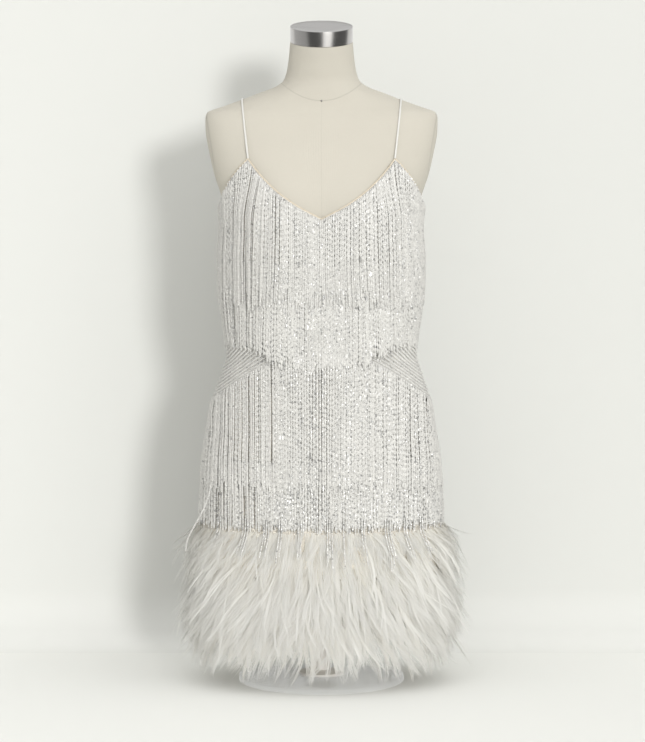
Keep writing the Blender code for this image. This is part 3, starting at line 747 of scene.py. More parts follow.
BRUSHED_RELIEF = 0.00002
FACES_UP = 0.9            # the least upward part of a top face's normal
BEVEL_FROM = math.radians(40.0)
SMOOTH_TO = math.radians(35.0)


def steel_material(name, settings, lines, roughness, dark=1.0):
    material, tree, shader = new_material(name, roughness, 1.0)
    place = place_in_object(tree)
    brushed = use_group(tree, brushed_group(), Vector=place, Lines=lines, Contrast=0.14)
    patches = use_group(tree, patches_group(), Vector=place, Patches=30.0, Contrast=0.06)
    # dark darkens the pin's steel; above 1 it is painted light that pales the post's steel
    steel = opaque([part * dark for part in settings.steel_colour])
    set_colour(tree, shader, steel, brushed["Tone"], patches["Tone"])
    set_bump(tree, shader, brushed["Height"], BRUSHED_RELIEF)
    return material


def add_cylinder(name, radius, depth, location, tilt=0.0, sides=96):
    bpy.ops.object.select_all(action="DESELECT")
    bpy.ops.mesh.primitive_cylinder_add(
        vertices=sides, radius=radius, depth=depth, location=location, rotation=(tilt, 0.0, 0.0))
    piece = bpy.context.active_object
    piece.name = name
    piece.data.name = name
    return piece


def choose_top(piece):
    """Selects the faces that look up, in edit mode."""
    select_only(piece)
    bpy.ops.object.mode_set(mode="EDIT")
    bpy.ops.mesh.select_mode(type="FACE")
    bpy.ops.mesh.select_all(action="DESELECT")
    bpy.ops.object.mode_set(mode="OBJECT")
    for face in piece.data.polygons:
        face.select = face.normal.z > FACES_UP
    bpy.ops.object.mode_set(mode="EDIT")


def round_edges(piece, width, segments=4):
    """Bevels the sharp edges and leaves the piece applied, smooth and at the origin."""
    bpy.ops.object.mode_set(mode="OBJECT")
    apply_modifier(
        piece, "BEVEL", width=width, segments=segments, limit_method="ANGLE", angle_limit=BEVEL_FROM)
    select_only(piece)
    bpy.ops.object.transform_apply(location=True, rotation=True, scale=True)
    bpy.ops.object.shade_smooth_by_angle(angle=SMOOTH_TO)


CAP_RADIUS = 0.0465
CAP_HEIGHT = 0.0225
CAP_RIM = 0.0022
CAP_DISH = 0.0004         # how far the cap's top lies below its rim


def build_neck_cap(settings):
    """The steel cap: a disc with a raised rim over a plain band."""
    axis = Vector((0.0, -math.sin(NECK_TILT), math.cos(NECK_TILT)))
    seat = Vector((0.0, float(FORM.at(np.array(NECK_TOP_Z)).lean), NECK_TOP_Z)) + axis * SEAM_GAP
    piece = add_cylinder("neck_cap", CAP_RADIUS, CAP_HEIGHT, seat + axis * CAP_HEIGHT / 2.0, NECK_TILT)
    choose_top(piece)
    bpy.ops.mesh.inset(thickness=CAP_RIM)
    bpy.ops.mesh.inset(thickness=CAP_DISH)
    bpy.ops.transform.translate(value=axis * -CAP_DISH)
    bpy.ops.mesh.inset(thickness=CAP_RADIUS / 3.0)
    round_edges(piece, settings.cap_edge)
    piece.data.materials.append(steel_material("neck_steel", settings, 2600.0, 0.24))
    return finish_piece(piece, "neck_steel", "form_neck_cap")


PIN_RADIUS = 0.0015
PIN_FLATNESS = 0.6
PIN_DARK = 0.35           # its steel's shade beside the cap's


def build_neck_pin(settings):
    """The pin that marks centre front on the neck seam."""
    front = figure_point(np.array(0.0), np.array(NECK_SEAM_Z))
    bpy.ops.object.select_all(action="DESELECT")
    bpy.ops.mesh.primitive_uv_sphere_add(
        segments=16, ring_count=10, radius=PIN_RADIUS, location=front, rotation=(math.pi / 2.0, 0.0, 0.0))
    piece = bpy.context.active_object
    piece.name = "neck_pin"
    piece.scale = (1.0, 1.0, PIN_FLATNESS)
    bpy.ops.object.transform_apply(location=True, rotation=True, scale=True)
    bpy.ops.object.shade_smooth()
    piece.data.materials.append(steel_material("pin_steel", settings, 900.0, 0.30, PIN_DARK))
    return finish_piece(piece, "neck_steel")


POST_RADIUS = 0.0125
POST_FOOT_RADIUS = 0.034
POST_FOOT_HEIGHT = 0.007
POST_FOOT_SLOPE = 0.003
POST_HEAD_RADIUS = 0.045
POST_HEAD_HEIGHT = 0.005
POST_EDGE = 0.0008
POST_PAINTED_LIFT = 1.3           # its steel colour is paler than the cap's: painted light that lifts it out of the shade and dark reflections under the dress; it is also duller


def build_post(settings):
    """The post: a foot flange, a tube and a head plate, grown from one disc by extrusion."""
    low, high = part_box("form_post")
    foot = POST_FOOT_HEIGHT - POST_FOOT_SLOPE
    piece = add_cylinder("stand_post", POST_FOOT_RADIUS, foot, (0.0, 0.0, low.z + foot / 2.0), sides=64)
    steps = (
        (POST_FOOT_SLOPE, POST_RADIUS / POST_FOOT_RADIUS),
        (high.z - low.z - POST_FOOT_HEIGHT - POST_HEAD_HEIGHT, 1.0),
        (0.0, POST_HEAD_RADIUS / POST_RADIUS),
        (POST_HEAD_HEIGHT, 1.0),
    )
    choose_top(piece)
    for rise, widen in steps:
        bpy.ops.mesh.extrude_region_move(TRANSFORM_OT_translate={"value": (0.0, 0.0, rise)})
        bpy.ops.transform.resize(value=(widen, widen, 1.0))
    round_edges(piece, POST_EDGE, 3)
    piece.data.materials.append(steel_material("post_steel", settings, 1500.0, 0.80, POST_PAINTED_LIFT))
    return finish_piece(piece, "post_steel", "form_post")


GLASS_IOR = 1.25
GLASS_SMUDGES = 0.03      # the roughness of the smudges on it
PLATE_RINGS = (0.08, 0.5)  # the steps in from its edge, as shares of its radius
GLASS_SHARE = 0.26        # the plate is so clear that most of what is behind it shows unchanged


def glass_material(settings):
    material, tree, shader = new_material("base_glass", 0.02)
    place = place_in_object(tree)
    smudges = use_group(tree, patches_group(), Vector=place, Patches=14.0, Contrast=0.9)
    tree.links.new(maths(tree, "MULTIPLY", smudges["Tone"], GLASS_SMUDGES), shader.inputs["Roughness"])
    shader.inputs["Base Color"].default_value = opaque(settings.glass_colour)
    shader.inputs["Transmission Weight"].default_value = 1.0
    shader.inputs["IOR"].default_value = GLASS_IOR
    shader.inputs["Alpha"].default_value = GLASS_SHARE
    clear = add_node(tree, "BsdfTransparent")
    shadow = add_node(tree, "LightPath").outputs["Is Shadow Ray"]
    set_surface(tree, mix_shaders(tree, shadow, shader.outputs["BSDF"], clear.outputs["BSDF"]))
    return material


def build_base_plate(settings):
    """The round glass plate with a polished edge."""
    low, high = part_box("form_base")
    radius = (high.x - low.x) / 2.0
    depth = high.z - low.z
    piece = add_cylinder("base_plate", radius, depth, (0.0, 0.0, (low.z + high.z) / 2.0), sides=128)
    choose_top(piece)
    for share in PLATE_RINGS:
        bpy.ops.mesh.inset(thickness=radius * share)
    round_edges(piece, settings.plate_edge)
    piece.data.materials.append(glass_material(settings))
    return finish_piece(piece, "base_glass", "form_base")


# ---------------------------------------------------------------- cloth, binding and straps
NET_BEADS = 420.0         # beads to the metre
NET_BEAD_TONES = (0.45, 0.72)
NET_SILVER_FROM = 0.82    # of the beads' random numbers from 0 to 1, those above are silver
NET_METAL = 0.8
NET_BEAD_HEIGHT = 4.0
NET_RELIEF = 0.0002
SATIN_RELIEF = 0.00004


def net_material(settings):
    """Satin under net, closely set with small beads."""
    material, tree, shader = new_material("beaded_net", 0.42)
    surface = add_node(tree, "UVMap", uv_map="surface").outputs["UV"]
    weave = use_group(tree, weave_group(), Vector=surface, Threads=1400.0, Depth=0.08)
    patches = use_group(tree, patches_group(), Vector=surface, Patches=24.0, Contrast=0.10)
    cells = add_node(tree, "TexVoronoi", {"Vector": surface, "Scale": NET_BEADS})
    grain = add_node(tree, "SeparateColor", {"Color": cells.outputs["Color"]}).outputs["Red"]
    bead_tone = maths(tree, "MULTIPLY_ADD", grain, *NET_BEAD_TONES)
    set_colour(tree, shader, opaque(settings.net_colour), bead_tone, weave["Tone"], patches["Tone"])
    silver = maths(tree, "GREATER_THAN", grain, NET_SILVER_FROM)
    tree.links.new(maths(tree, "MULTIPLY", silver, NET_METAL), shader.inputs["Metallic"])
    beads = maths(tree, "MULTIPLY", cells.outputs["Distance"], NET_BEAD_HEIGHT)
    set_bump(tree, shader, maths(tree, "SUBTRACT", weave["Height"], beads), NET_RELIEF)
    return material


def satin_material(name, colour):
    material, tree, shader = new_material(name, 0.38)
    place = place_in_object(tree)
    weave = use_group(tree, weave_group(), Vector=place, Threads=2400.0, Depth=0.10)
    patches = use_group(tree, patches_group(), Vector=place, Patches=60.0, Contrast=0.06)
    set_colour(tree, shader, opaque(colour), weave["Tone"], patches["Tone"])
    set_bump(tree, shader, weave["Height"], SATIN_RELIEF)
    shader.inputs["Sheen Weight"].default_value = 0.2
    return material


def crease_depth(around, height):
    """How far the cloth sinks into its soft vertical troughs."""
    depth = np.zeros(np.broadcast(around, height).shape)
    for crease in CREASES:
        aside = (np.mod(around - crease.around + 2.0, 4.0) - 2.0) * QUARTER_LENGTH / crease.width
        run = (height - crease.low) / (crease.high - crease.low)
        depth += crease.depth * np.exp(-aside ** 2) * smooth_step(4.0 * run) * smooth_step(4.0 * (1.0 - run))
    return depth


def build_panel(name, node, first, last, settings, material):
    """One cloth panel between two side seams, as an open sheet with an inner wall."""
    columns = settings.cloth_columns + 1
    rows = settings.cloth_rows + 1
    around = np.linspace(first, last, columns)
    share = np.linspace(0.0, 1.0, rows)[:, None]
    height = HEM_Z + (edge_height(around) - HEM_Z) * share
    around = np.broadcast_to(around, height.shape)
    points = off_place(around, height, -crease_depth(around, height))[0]
    for column, inner in ((0, 1), (-1, -2)):
        step = points[:, inner] - points[:, column]
        points[:, column] += unit(step) * SEAM_GAP
    faces, face_rows, face_columns = grid_faces(rows, columns, closed=False)
    piece = mesh_object(name, points.reshape(-1, 3), [faces], material)
    across = np.linalg.norm(np.diff(points, axis=1), axis=2)
    width = across.sum(axis=1).max()
    upward = np.linalg.norm(np.diff(points, axis=0), axis=2)
    length = upward.sum(axis=0).max()
    corner_uv = np.stack((face_columns * width / columns, height[face_rows, face_columns]), axis=-1)
    set_uv(piece, "surface", corner_uv.reshape(-1, 2))
    area = sum(polygon.area for polygon in piece.data.polygons)
    apply_modifier(piece, "SOLIDIFY", thickness=CLOTH_WALL, offset=-1.0, use_even_offset=True)
    finish_piece(piece, "beaded_net", node)
    return piece, (width, length), area


BINDING_RADIUS = 0.0011
BINDING_SIDES = 8
BINDING_STEPS = 640


def build_binding(settings):
    """The narrow rolled binding on the dress's top edge."""
    around = np.linspace(0.0, 4.0, BINDING_STEPS, endpoint=False)
    line, normals = off_place(around, edge_height(around), -CLOTH_WALL / 2.0)
    tube = tube_rings(line, normals, BINDING_RADIUS, BINDING_SIDES, closed=True)
    faces = grid_faces(BINDING_STEPS, BINDING_SIDES, closed=True)[0]
    last = (BINDING_STEPS - 1) * BINDING_SIDES
    side = np.arange(BINDING_SIDES)
    after = (side + 1) % BINDING_SIDES
    close = np.stack((last + side, last + after, after, side), axis=-1)
    material = satin_material("binding_satin", settings.binding_edge_shade_colour)
    piece = mesh_object("top_edge_binding", tube.reshape(-1, 3), [faces, close], material)
    return finish_piece(piece, "strap_satin")


def tube_rings(line, normals, radius, sides, closed=False):
    """Rings of points round a line, which start on its normals."""
    if closed:
        run = unit(np.roll(line, -1, axis=0) - np.roll(line, 1, axis=0))
    else:
        run = unit(np.gradient(line, axis=0))
    across = unit(np.cross(normals, run))
    upright = np.cross(run, across)
    angles = -math.tau * np.arange(sides) / sides
    radius = np.broadcast_to(radius, len(line))[:, None, None]
    return line[:, None] + radius * (
        np.cos(angles)[None, :, None] * across[:, None] + np.sin(angles)[None, :, None] * upright[:, None])


STRAP_NODE_WIDTH = 0.005
STRAP_WIDTH = 0.0028
STRAP_THICKNESS = 0.0016
STRAP_ROWS = 120
STRAP_SIDES = 12
STRAP_CORNER = 0.45       # how square the rolled strap's section is
STRAP_SHARP_FROM = math.radians(60.0)


def strap_frames(node):
    """Middle line and width direction of a strap node, from its rings of four corners."""
    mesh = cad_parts[node].data
    corners = np.empty(len(mesh.vertices) * 3)
    mesh.vertices.foreach_get("co", corners)
    corners = np.unique(np.round(corners.reshape(-1, 3), 6), axis=0)
    pivot = (corners.min(axis=0) + corners.max(axis=0)) / 2.0
    angle = np.arctan2(corners[:, 1] - pivot[1], corners[:, 2] - corners[:, 2].min() + STRAP_NODE_WIDTH)
    rings = corners[np.argsort(angle)].reshape(-1, 4, 3)
    middles = rings.mean(axis=1)
    by_side = np.take_along_axis(rings, np.argsort(rings[:, :, 0], axis=1)[..., None], axis=1)
    return middles, unit(by_side[:, 2:].mean(axis=1) - by_side[:, :2].mean(axis=1))


def smooth_through(values, count):
    """Reads a line of values at even steps, on a curve through all of them."""
    place = length_along(values)
    slope = np.gradient(values, place, axis=0)
    wanted = np.linspace(0.0, place[-1], count)
    above = np.clip(np.searchsorted(place, wanted), 1, len(place) - 1)
    span = (place[above] - place[above - 1])[:, None]
    share = (wanted - place[above - 1])[:, None] / span
    line = curve_between(values[above - 1], values[above], slope[above - 1], slope[above], span, share)
    return line, wanted / place[-1], place / place[-1]


def build_strap(name, node, material):
    """A rolled satin strap along its node."""
    middles, widths = strap_frames(node)
    line, shares, knots = smooth_through(middles, STRAP_ROWS)
    across = unit(np.stack([np.interp(shares, knots, widths[:, axis]) for axis in range(3)], axis=-1))
    run = unit(np.gradient(line, axis=0))
    across = unit(across - run * np.sum(across * run, axis=1, keepdims=True))
    upright = np.cross(run, across)
    angles = math.tau * np.arange(STRAP_SIDES) / STRAP_SIDES
    round_off = 1.0 - STRAP_CORNER
    wide = np.sign(np.cos(angles)) * np.abs(np.cos(angles)) ** round_off * STRAP_WIDTH / 2.0
    thick = np.sign(np.sin(angles)) * np.abs(np.sin(angles)) ** round_off * STRAP_THICKNESS / 2.0
    rings = line[:, None] + wide[None, :, None] * across[:, None] + thick[None, :, None] * upright[:, None]
    faces = grid_faces(STRAP_ROWS, STRAP_SIDES, closed=True)[0]
    side = np.arange(STRAP_SIDES)
    ends = np.stack((side[::-1], side + (STRAP_ROWS - 1) * STRAP_SIDES))
    piece = mesh_object(name, rings.reshape(-1, 3), [faces, ends], material)
    select_only(piece)
    bpy.ops.object.mode_set(mode="EDIT")
    bpy.ops.mesh.select_all(action="SELECT")
    bpy.ops.mesh.normals_make_consistent(inside=False)
    bpy.ops.object.mode_set(mode="OBJECT")
    piece.data.set_sharp_from_angle(angle=STRAP_SHARP_FROM)
    return finish_piece(piece, "strap_satin", node)


# ---------------------------------------------------------------- strung beads
BAND_OUT = 0.0021         # the middle of a fringe's backing tape, off the cloth
BAND_HEIGHT = 0.007
BAND_THICKNESS = 0.0012
BAND_STEPS = 400
BAND_BELOW_EDGE = 0.0028
# the backing tapes take the white beads' colour at a darker tone: painted shade that sinks them into the
# shaded gaps between strands
BAND_SHADE_TONE = 0.80
STRAND_BELOW_EDGE = 0.0006
STRAND_ROWS = 44
ROOT_OUT = 0.0036         # a strand's middle where it's sewn on its tape
ROOT_DROP = 0.010         # how far below its root a strand has its full lift
UNDER_OUT = 0.0044        # a strand's middle, off the cloth
OVER_OUT = 0.0063         # and where it hangs over another tier
LIFT_RUN = 0.040
CLING = 0.14              # how fast a hanging strand swings back in, per metre of drop
FRINGE_2_ROOT_Z = 0.6395
FRINGE_4_ROOT_Z = 0.345
SIDE_RISE = 0.026         # how much higher the second tier ends at the sides, off the hip rows
SIDE_RISE_X = 0.05        # it starts to rise this far from the middle
SIDE_RISE_RUN = 0.055
PLUMB_SHARE = 0.40        # up to this share of the way to a side seam, strands hang plumb
LEAN = 0.013              # how far the strands under the shoulder straps lean in at their tops
LEAN_LOW_Z = 0.695
LEAN_HIGH_Z = 0.785
LEAN_FROM_X = 0.070
LEAN_FULL_X = 0.112

# root is the height of the tier's tape, and None is the top edge. The tips range up from tip_z
# by uneven, and the inner row's by inner. Below over_z the tier hangs over another. loops is the
# share of strands that end in a loop.
Tier = namedtuple("Tier", "name node strands root tip_z uneven inner over_z loops")
TIERS = (
    Tier("fringe_1_beads", "fringe_1", 240, None, 0.567, 0.036, 0.032, FRINGE_2_ROOT_Z, 0.04),
    Tier("fringe_2_beads", "fringe_2", 240, FRINGE_2_ROOT_Z, 0.478, 0.034, 0.011, 0.470, 0.03),
    Tier("fringe_3_beads", "fringe_3", 240, HIP_LINE_Z, 0.294, 0.022, 0.020, FRINGE_4_ROOT_Z, 0.08),
    Tier("fringe_4_beads", "fringe_4", 248, FRINGE_4_ROOT_Z, 0.238, 0.012, 0.011, 0.0, 0.0),
)


def tape_top(tier, around):
    """The height of the top of a tier's backing tape."""
    if tier.root is None:
        return edge_height(around) - BAND_BELOW_EDGE
    if tier.root == HIP_LINE_Z:
        return hip_line(around)
    return np.full(np.shape(around), tier.root)


def edge_over(turn):
    """The height of the dress's top edge at a turn."""
    quarters = np.linspace(0.0, 2.0, 401)
    turns, heights = top_edge(quarters)
    return np.interp(np.abs(turn), turns, heights)


def plumb_turn(tip_turn, tip_z, height):
    """The turn of a strand at a height: plumb near the centres, along the body at the sides."""
    folded = np.minimum(np.abs(tip_turn), math.pi - np.abs(tip_turn))
    x = np.abs(on_cloth(folded, tip_z)[..., 0])
    lean = smooth_step((height - LEAN_LOW_Z) / (LEAN_HIGH_Z - LEAN_LOW_Z))
    x = x - LEAN * lean * smooth_step((x - LEAN_FROM_X) / (LEAN_FULL_X - LEAN_FROM_X))
    side = smooth_step((folded / (math.pi / 2.0) - PLUMB_SHARE) / (1.0 - PLUMB_SHARE))
    turn = turn_at(x, height) * (1.0 - side) + folded * side
    turn = np.where(np.abs(tip_turn) > math.pi / 2.0, math.pi - turn, turn)
    return np.sign(tip_turn) * turn


TOP_EDGE_HEIGHTS = np.linspace(0.800, 0.680, 241)  # where the first tier's roots are looked for
ROOT_BELOW_TOP = 0.0005   # a strand's root, below its tape's top


def strand_roots(tier, tip_turn, tip_z):
    """The height at which each strand leaves its tape."""
    if tier.root is None:
        heights = TOP_EDGE_HEIGHTS[:, None]
        turns = plumb_turn(tip_turn[None], tip_z[None], heights)
        under = heights <= edge_over(turns) - STRAND_BELOW_EDGE
        return heights[np.argmax(under, axis=0), 0]
    root_z = np.full(len(tip_turn), tier.root)
    for _ in range(4):
        turn = plumb_turn(tip_turn, tip_z, root_z)
        root_z = tape_top(tier, turn / (math.pi / 2.0)) - ROOT_BELOW_TOP
    return root_z


BEAD_GLOSS = (-0.20, 0.46)  # roughness: what silver takes off, and that of white beads


def bead_material(settings):
    """White glass and silver-lined beads, told apart by each bead's own numbers."""
    material, tree, shader = new_material("bead_fringe", 0.25)
    tone = add_node(tree, "Attribute", attribute_name="tone").outputs["Fac"]
    silver = add_node(tree, "Attribute", attribute_name="silver").outputs["Fac"]
    base = mix_colour(tree, silver, opaque(settings.white_colour), opaque(settings.silver_colour))
    set_colour(tree, shader, base, tone)
    tree.links.new(silver, shader.inputs["Metallic"])
    patches = use_group(tree, patches_group(), Vector=place_in_object(tree), Patches=300.0, Contrast=0.5)
    gloss = maths(tree, "MULTIPLY_ADD", silver, *BEAD_GLOSS)
    tree.links.new(maths(tree, "MULTIPLY", patches["Tone"], gloss), shader.inputs["Roughness"])
    return material


def away(points):
    """Level directions away from the dress's middle, as round an oval of its width and depth."""
    return unit(points * (1.0, OVAL, 0.0))


BEAD_SIDES = 4
BEAD_POINTS = BEAD_SIDES + 2


def bead_shapes(centres, along, length, radius, twist, glint):
    """Beads of six points and eight triangles, strung along their own axes, and their normals."""
    side = unit(np.cross(along, away(centres)))
    other = np.cross(along, side)
    corners = [centres + along * length[:, None] / 2.0]
    normals = [away(centres) + END_TILT * along]
    for step in range(BEAD_SIDES):
        angle = (twist + step * math.tau / BEAD_SIDES)[:, None]
        spoke = np.cos(angle) * side + np.sin(angle) * other
        corners.append(centres + radius[:, None] * spoke)
        normals.append(spoke + away(centres) * ROUND_OFF)
    corners.append(centres - along * length[:, None] / 2.0)
    normals.append(away(centres) - END_TILT * along)
    points = np.stack(corners, axis=1)
    normals = unit(np.stack(normals, axis=1) + glint[:, None])
    sides = [(1 + step, 1 + (step + 1) % BEAD_SIDES) for step in range(BEAD_SIDES)]
    pattern = [(0, here, after) for here, after in sides]
    pattern += [(BEAD_POINTS - 1, after, here) for here, after in sides]
    faces = np.array(pattern)[None] + BEAD_POINTS * np.arange(len(centres))[:, None, None]
    return points.reshape(-1, 3), faces.reshape(-1, 3), normals.reshape(-1, 3)


def string_beads(line, pitch, start):
    """Bead centres and their directions along a line of points."""
    length = length_along(line)
    places = np.arange(pitch * start, length[-1], pitch)
    before, centre, after = (
        np.stack([np.interp(places + shift, length, line[:, axis]) for axis in range(3)], axis=-1)
        for shift in (-pitch / 2.0, 0.0, pitch / 2.0))
    return centre, unit(after - before)


def hang_strands(tip_turn, root_z, tip_z, over_z, sway, lift):
    """Points down each strand: on the cloth where it bulges, and nearly plumb below that."""
    points = []
    above = None
    for share in np.linspace(0.0, 1.0, STRAND_ROWS):
        height = root_z + (tip_z - root_z) * share
        turn = plumb_turn(tip_turn, tip_z, height) + sway * share ** 2
        over = smooth_step((over_z + LIFT_RUN - height) / LIFT_RUN)
        full = UNDER_OUT + (OVER_OUT - UNDER_OUT) * over + lift
        out = ROOT_OUT + (full - ROOT_OUT) * smooth_step((root_z - height) / ROOT_DROP)
        point, normal = off_cloth(turn, height, out)
        if above is not None:
            drop = above[..., 2] - height
            stand_off = np.sum((above - point) * normal, axis=-1) - CLING * drop
            point = point + normal * np.maximum(stand_off, 0.0)[..., None]
        points.append(point)
        above = point
    return np.stack(points, axis=1)


def patchy(chance, cells, size):
    """Smooth random numbers from 0 to 1 on a grid, read at places in cells."""
    grid = chance.random(size)
    row, column = (np.clip(part, 0.0, limit - 1.001) for part, limit in zip(cells, size))
    low_row, low_column = row.astype(int), column.astype(int)
    up, aside = smooth_step(row - low_row), smooth_step(column - low_column)
    top = grid[low_row, low_column] * (1.0 - aside) + grid[low_row, low_column + 1] * aside
    bottom = grid[low_row + 1, low_column] * (1.0 - aside) + grid[low_row + 1, low_column + 1] * aside
    return top * (1.0 - up) + bottom * up


OVAL = 2.3                # the square of the dress's width over its depth
END_TILT = 0.20           # how far a bead's normals turn up and down at its ends
BEAD_TWIST = 0.5          # how unevenly the beads are turned on their thread
ROUND_OFF = 0.80          # how far those round its middle turn to the front
WHITE_GLINT = 0.14        # how much the normals of white and of silver-lined beads vary
SILVER_GLINT = 0.8
SILVER_SHARE = 0.38       # how much of a silver-lined bead's look is metal
SILVER_TONES = (0.62, 0.82, 1.0, 1.15)
SILVER_ODDS = (0.3, 0.3, 0.25, 0.15)
# Ranges of random numbers: the least one and the spread above it.
WHITE_TONES = (0.81, 0.18)
PITCHES = (0.94, 0.12)
FIRST_BEAD = (0.9, 0.6)   # how many pitches down its strand the first bead sits
RADII = (0.92, 0.12)
LENGTHS = (0.94, 0.10)
AXIS_UNEVEN = 0.10
ROPE_TONE = 0.07          # how much paler a rope's beads are
ROPE_GIRTH = 0.12         # how much thicker
ROPE_CLEAR = 0.9          # and what share of silver ones they lack


class BeadBox:
    """Gathers strung beads until they become one mesh."""

    def __init__(self, settings, chance):
        self.settings = settings
        self.chance = chance
        self.parts = []

    def string(self, line, rope, pepper, stretch=1.0, girth=1.0):
        """Strings beads on a line. rope whitens and thickens them, pepper is the silver share."""
        settings = self.settings
        chance = self.chance
        pitch = settings.bead_pitch * stretch * scatter(chance, *PITCHES)
        centres, along = string_beads(line, pitch, scatter(chance, *FIRST_BEAD))
        count = len(centres)
        if np.ndim(pepper) == 1:
            places = np.linspace(0.0, 1.0, count)
            pepper = np.interp(places, np.linspace(0.0, 1.0, len(pepper)), pepper)
        silver = (chance.random(count) < pepper * (1.0 - ROPE_CLEAR * rope)).astype(float)
        white_tone = scatter(chance, *WHITE_TONES, count) + ROPE_TONE * rope
        silver_tone = chance.choice(SILVER_TONES, size=count, p=SILVER_ODDS)
        tone = np.where(silver > 0.5, silver_tone, white_tone)
        radius = settings.bead_radius * girth * (scatter(chance, *RADII, count) + ROPE_GIRTH * rope)
        length = settings.bead_length * stretch * scatter(chance, *LENGTHS, count)
        tilt = unit(along + AXIS_UNEVEN * centred(chance, (count, 3)))
        glint = centred(chance, (count, 3)) * (WHITE_GLINT + SILVER_GLINT * silver[:, None])
        twist = centred(chance, count) * BEAD_TWIST
        self.parts.append((centres, tilt, length, radius, twist, glint, tone, silver * SILVER_SHARE))

    def make(self, name, material, tape=None):
        """Makes one piece of all the beads and of a backing tape's points and triangles."""
        columns = [np.concatenate(column) for column in zip(*self.parts)]
        points, faces, normals = bead_shapes(*columns[:6])
        tone, silver = (np.repeat(column, BEAD_POINTS) for column in columns[6:])
        if tape is not None:
            tape_points, tape_faces = tape
            faces = np.concatenate((faces, tape_faces + len(points)))
            points = np.concatenate((points, tape_points))
            normals = np.concatenate((normals, away(tape_points)))
        padding = len(points) - len(tone)
        piece = mesh_object(name, points, [faces], material)
        piece.data.normals_split_custom_set_from_vertices(normals)
        # the tapes' points get the darker painted shade tone
        set_values(piece, "tone", np.pad(tone, (0, padding), constant_values=BAND_SHADE_TONE))
        set_values(piece, "silver", np.pad(silver, (0, padding)))
        return piece


def tape_ring(tier):
    """A tier's backing tape, closed round the dress, as triangles."""
    around = np.linspace(0.0, 4.0, BAND_STEPS, endpoint=False)
    top = tape_top(tier, around)
    inner, outer = BAND_OUT - BAND_THICKNESS / 2.0, BAND_OUT + BAND_THICKNESS / 2.0
    corners = ((0.0, outer), (BAND_HEIGHT, outer), (BAND_HEIGHT, inner), (0.0, inner))
    rings = np.stack([off_place(around, top - drop, out)[0] for drop, out in corners], axis=1)
    step = np.arange(BAND_STEPS)[:, None] * 4
    after = (np.arange(BAND_STEPS)[:, None] + 1) % BAND_STEPS * 4
    side = np.arange(4)[None]
    over = (side + 1) % 4
    quads = np.stack((step + side, step + over, after + over, after + side), axis=-1).reshape(-1, 4)
    return rings.reshape(-1, 3), np.concatenate((quads[:, [0, 1, 2]], quads[:, [0, 2, 3]]))


# Silver-lined beads: their least share, and how much more there are in the streaks.
PEPPER = {
    "fringe_1": (0.15, 0.28),
    "fringe_2": (0.18, 0.38),
    "fringe_3": (0.11, 0.62),
    "fringe_4": (0.44, 0.74),
}
STREAK_STRANDS = 1.6      # how many strands a streak of silver spans
STREAK_ROWS = 6
STREAK_X = 0.01           # where there are most
STREAK_SPREAD = 0.10
STREAK_ASIDE = 0.35       # their share far from there
STREAK_EDGE = (2.6, 1.25)  # how steeply a streak begins, and where
PEPPER_MOST = 0.9


def pepper_share(tier, x, patch):
    """Share of silver-lined beads: more in streaks, and most of all near the middle."""
    least, most = PEPPER[tier.node]
    middle = STREAK_ASIDE + (1.0 - STREAK_ASIDE) * np.exp(-((x - STREAK_X) / STREAK_SPREAD) ** 2)
    steepness, start = STREAK_EDGE
    return np.clip(least + most * middle * smooth_step(steepness * patch - start), 0.0, PEPPER_MOST)


# Each of these is what strands have, and how much more of it on the wearer's right.
SPACING_UNEVEN = (0.15, 0.25)
SWAY = (0.35, 0.5)
LIFT_SHARE = (0.2, 0.8)
ROPE_SHARE = (0.10, 0.42)  # the share that are smooth ropes, which stand out

ROPE_LIFT = 0.0010
LIFT_UNEVEN = 0.0004
TIP_POWER = 1.4           # more strands end low than high
INNER_GAPS_RIGHT = 0.22   # the share of the inner row that is missing there
INNER_IN = 0.0007         # how far the inner row hangs behind the outer one
INNER_UP = 0.002          # and how far above it its lowest tips end
INNER_STRETCH = 2.9       # its beads are this much longer
INNER_GIRTH = 1.25        # and thicker
INNER_PEPPER = 0.03
RIGHT_X = 0.05            # the wearer's right begins this far from the middle
RIGHT_RUN = 0.05


def wearers_right(tier, turn):
    """0 over most of the tier and 1 on the wearer's right, where its ropes part."""
    return smooth_step((-on_cloth(turn, tier.tip_z)[:, 0] - RIGHT_X) / RIGHT_RUN)


def more_right(amounts, right):
    return amounts[0] + amounts[1] * right


def side_rise(tier, tip_turn, tip_z):
    """How much higher the second tier's strands end at the sides, where the hip rows show."""
    if tier.node != "fringe_2":
        return 0.0
    aside = np.abs(on_cloth(tip_turn, tip_z)[:, 0])
    return SIDE_RISE * smooth_step((aside - SIDE_RISE_X) / SIDE_RISE_RUN)


def string_inner_row(tier, box, tip_turn):
    """The fringe's second row, of long beads, which shows between the strands of the first."""
    chance = box.chance
    tip_turn = np.where(tip_turn > math.pi, tip_turn - math.tau, tip_turn)
    right = wearers_right(tier, tip_turn)
    tip_turn = tip_turn[chance.random(len(tip_turn)) > INNER_GAPS_RIGHT * right]
    count = len(tip_turn)
    tip_z = scatter(chance, tier.tip_z + INNER_UP, tier.inner, count)
    tip_z = tip_z + side_rise(tier, tip_turn, tip_z)
    root_z = strand_roots(tier, tip_turn, tip_z)
    flat = np.zeros(count)
    for line in hang_strands(tip_turn, root_z, tip_z, tier.over_z, flat, flat - INNER_IN):
        box.string(line, 0.0, INNER_PEPPER, stretch=INNER_STRETCH, girth=INNER_GIRTH)


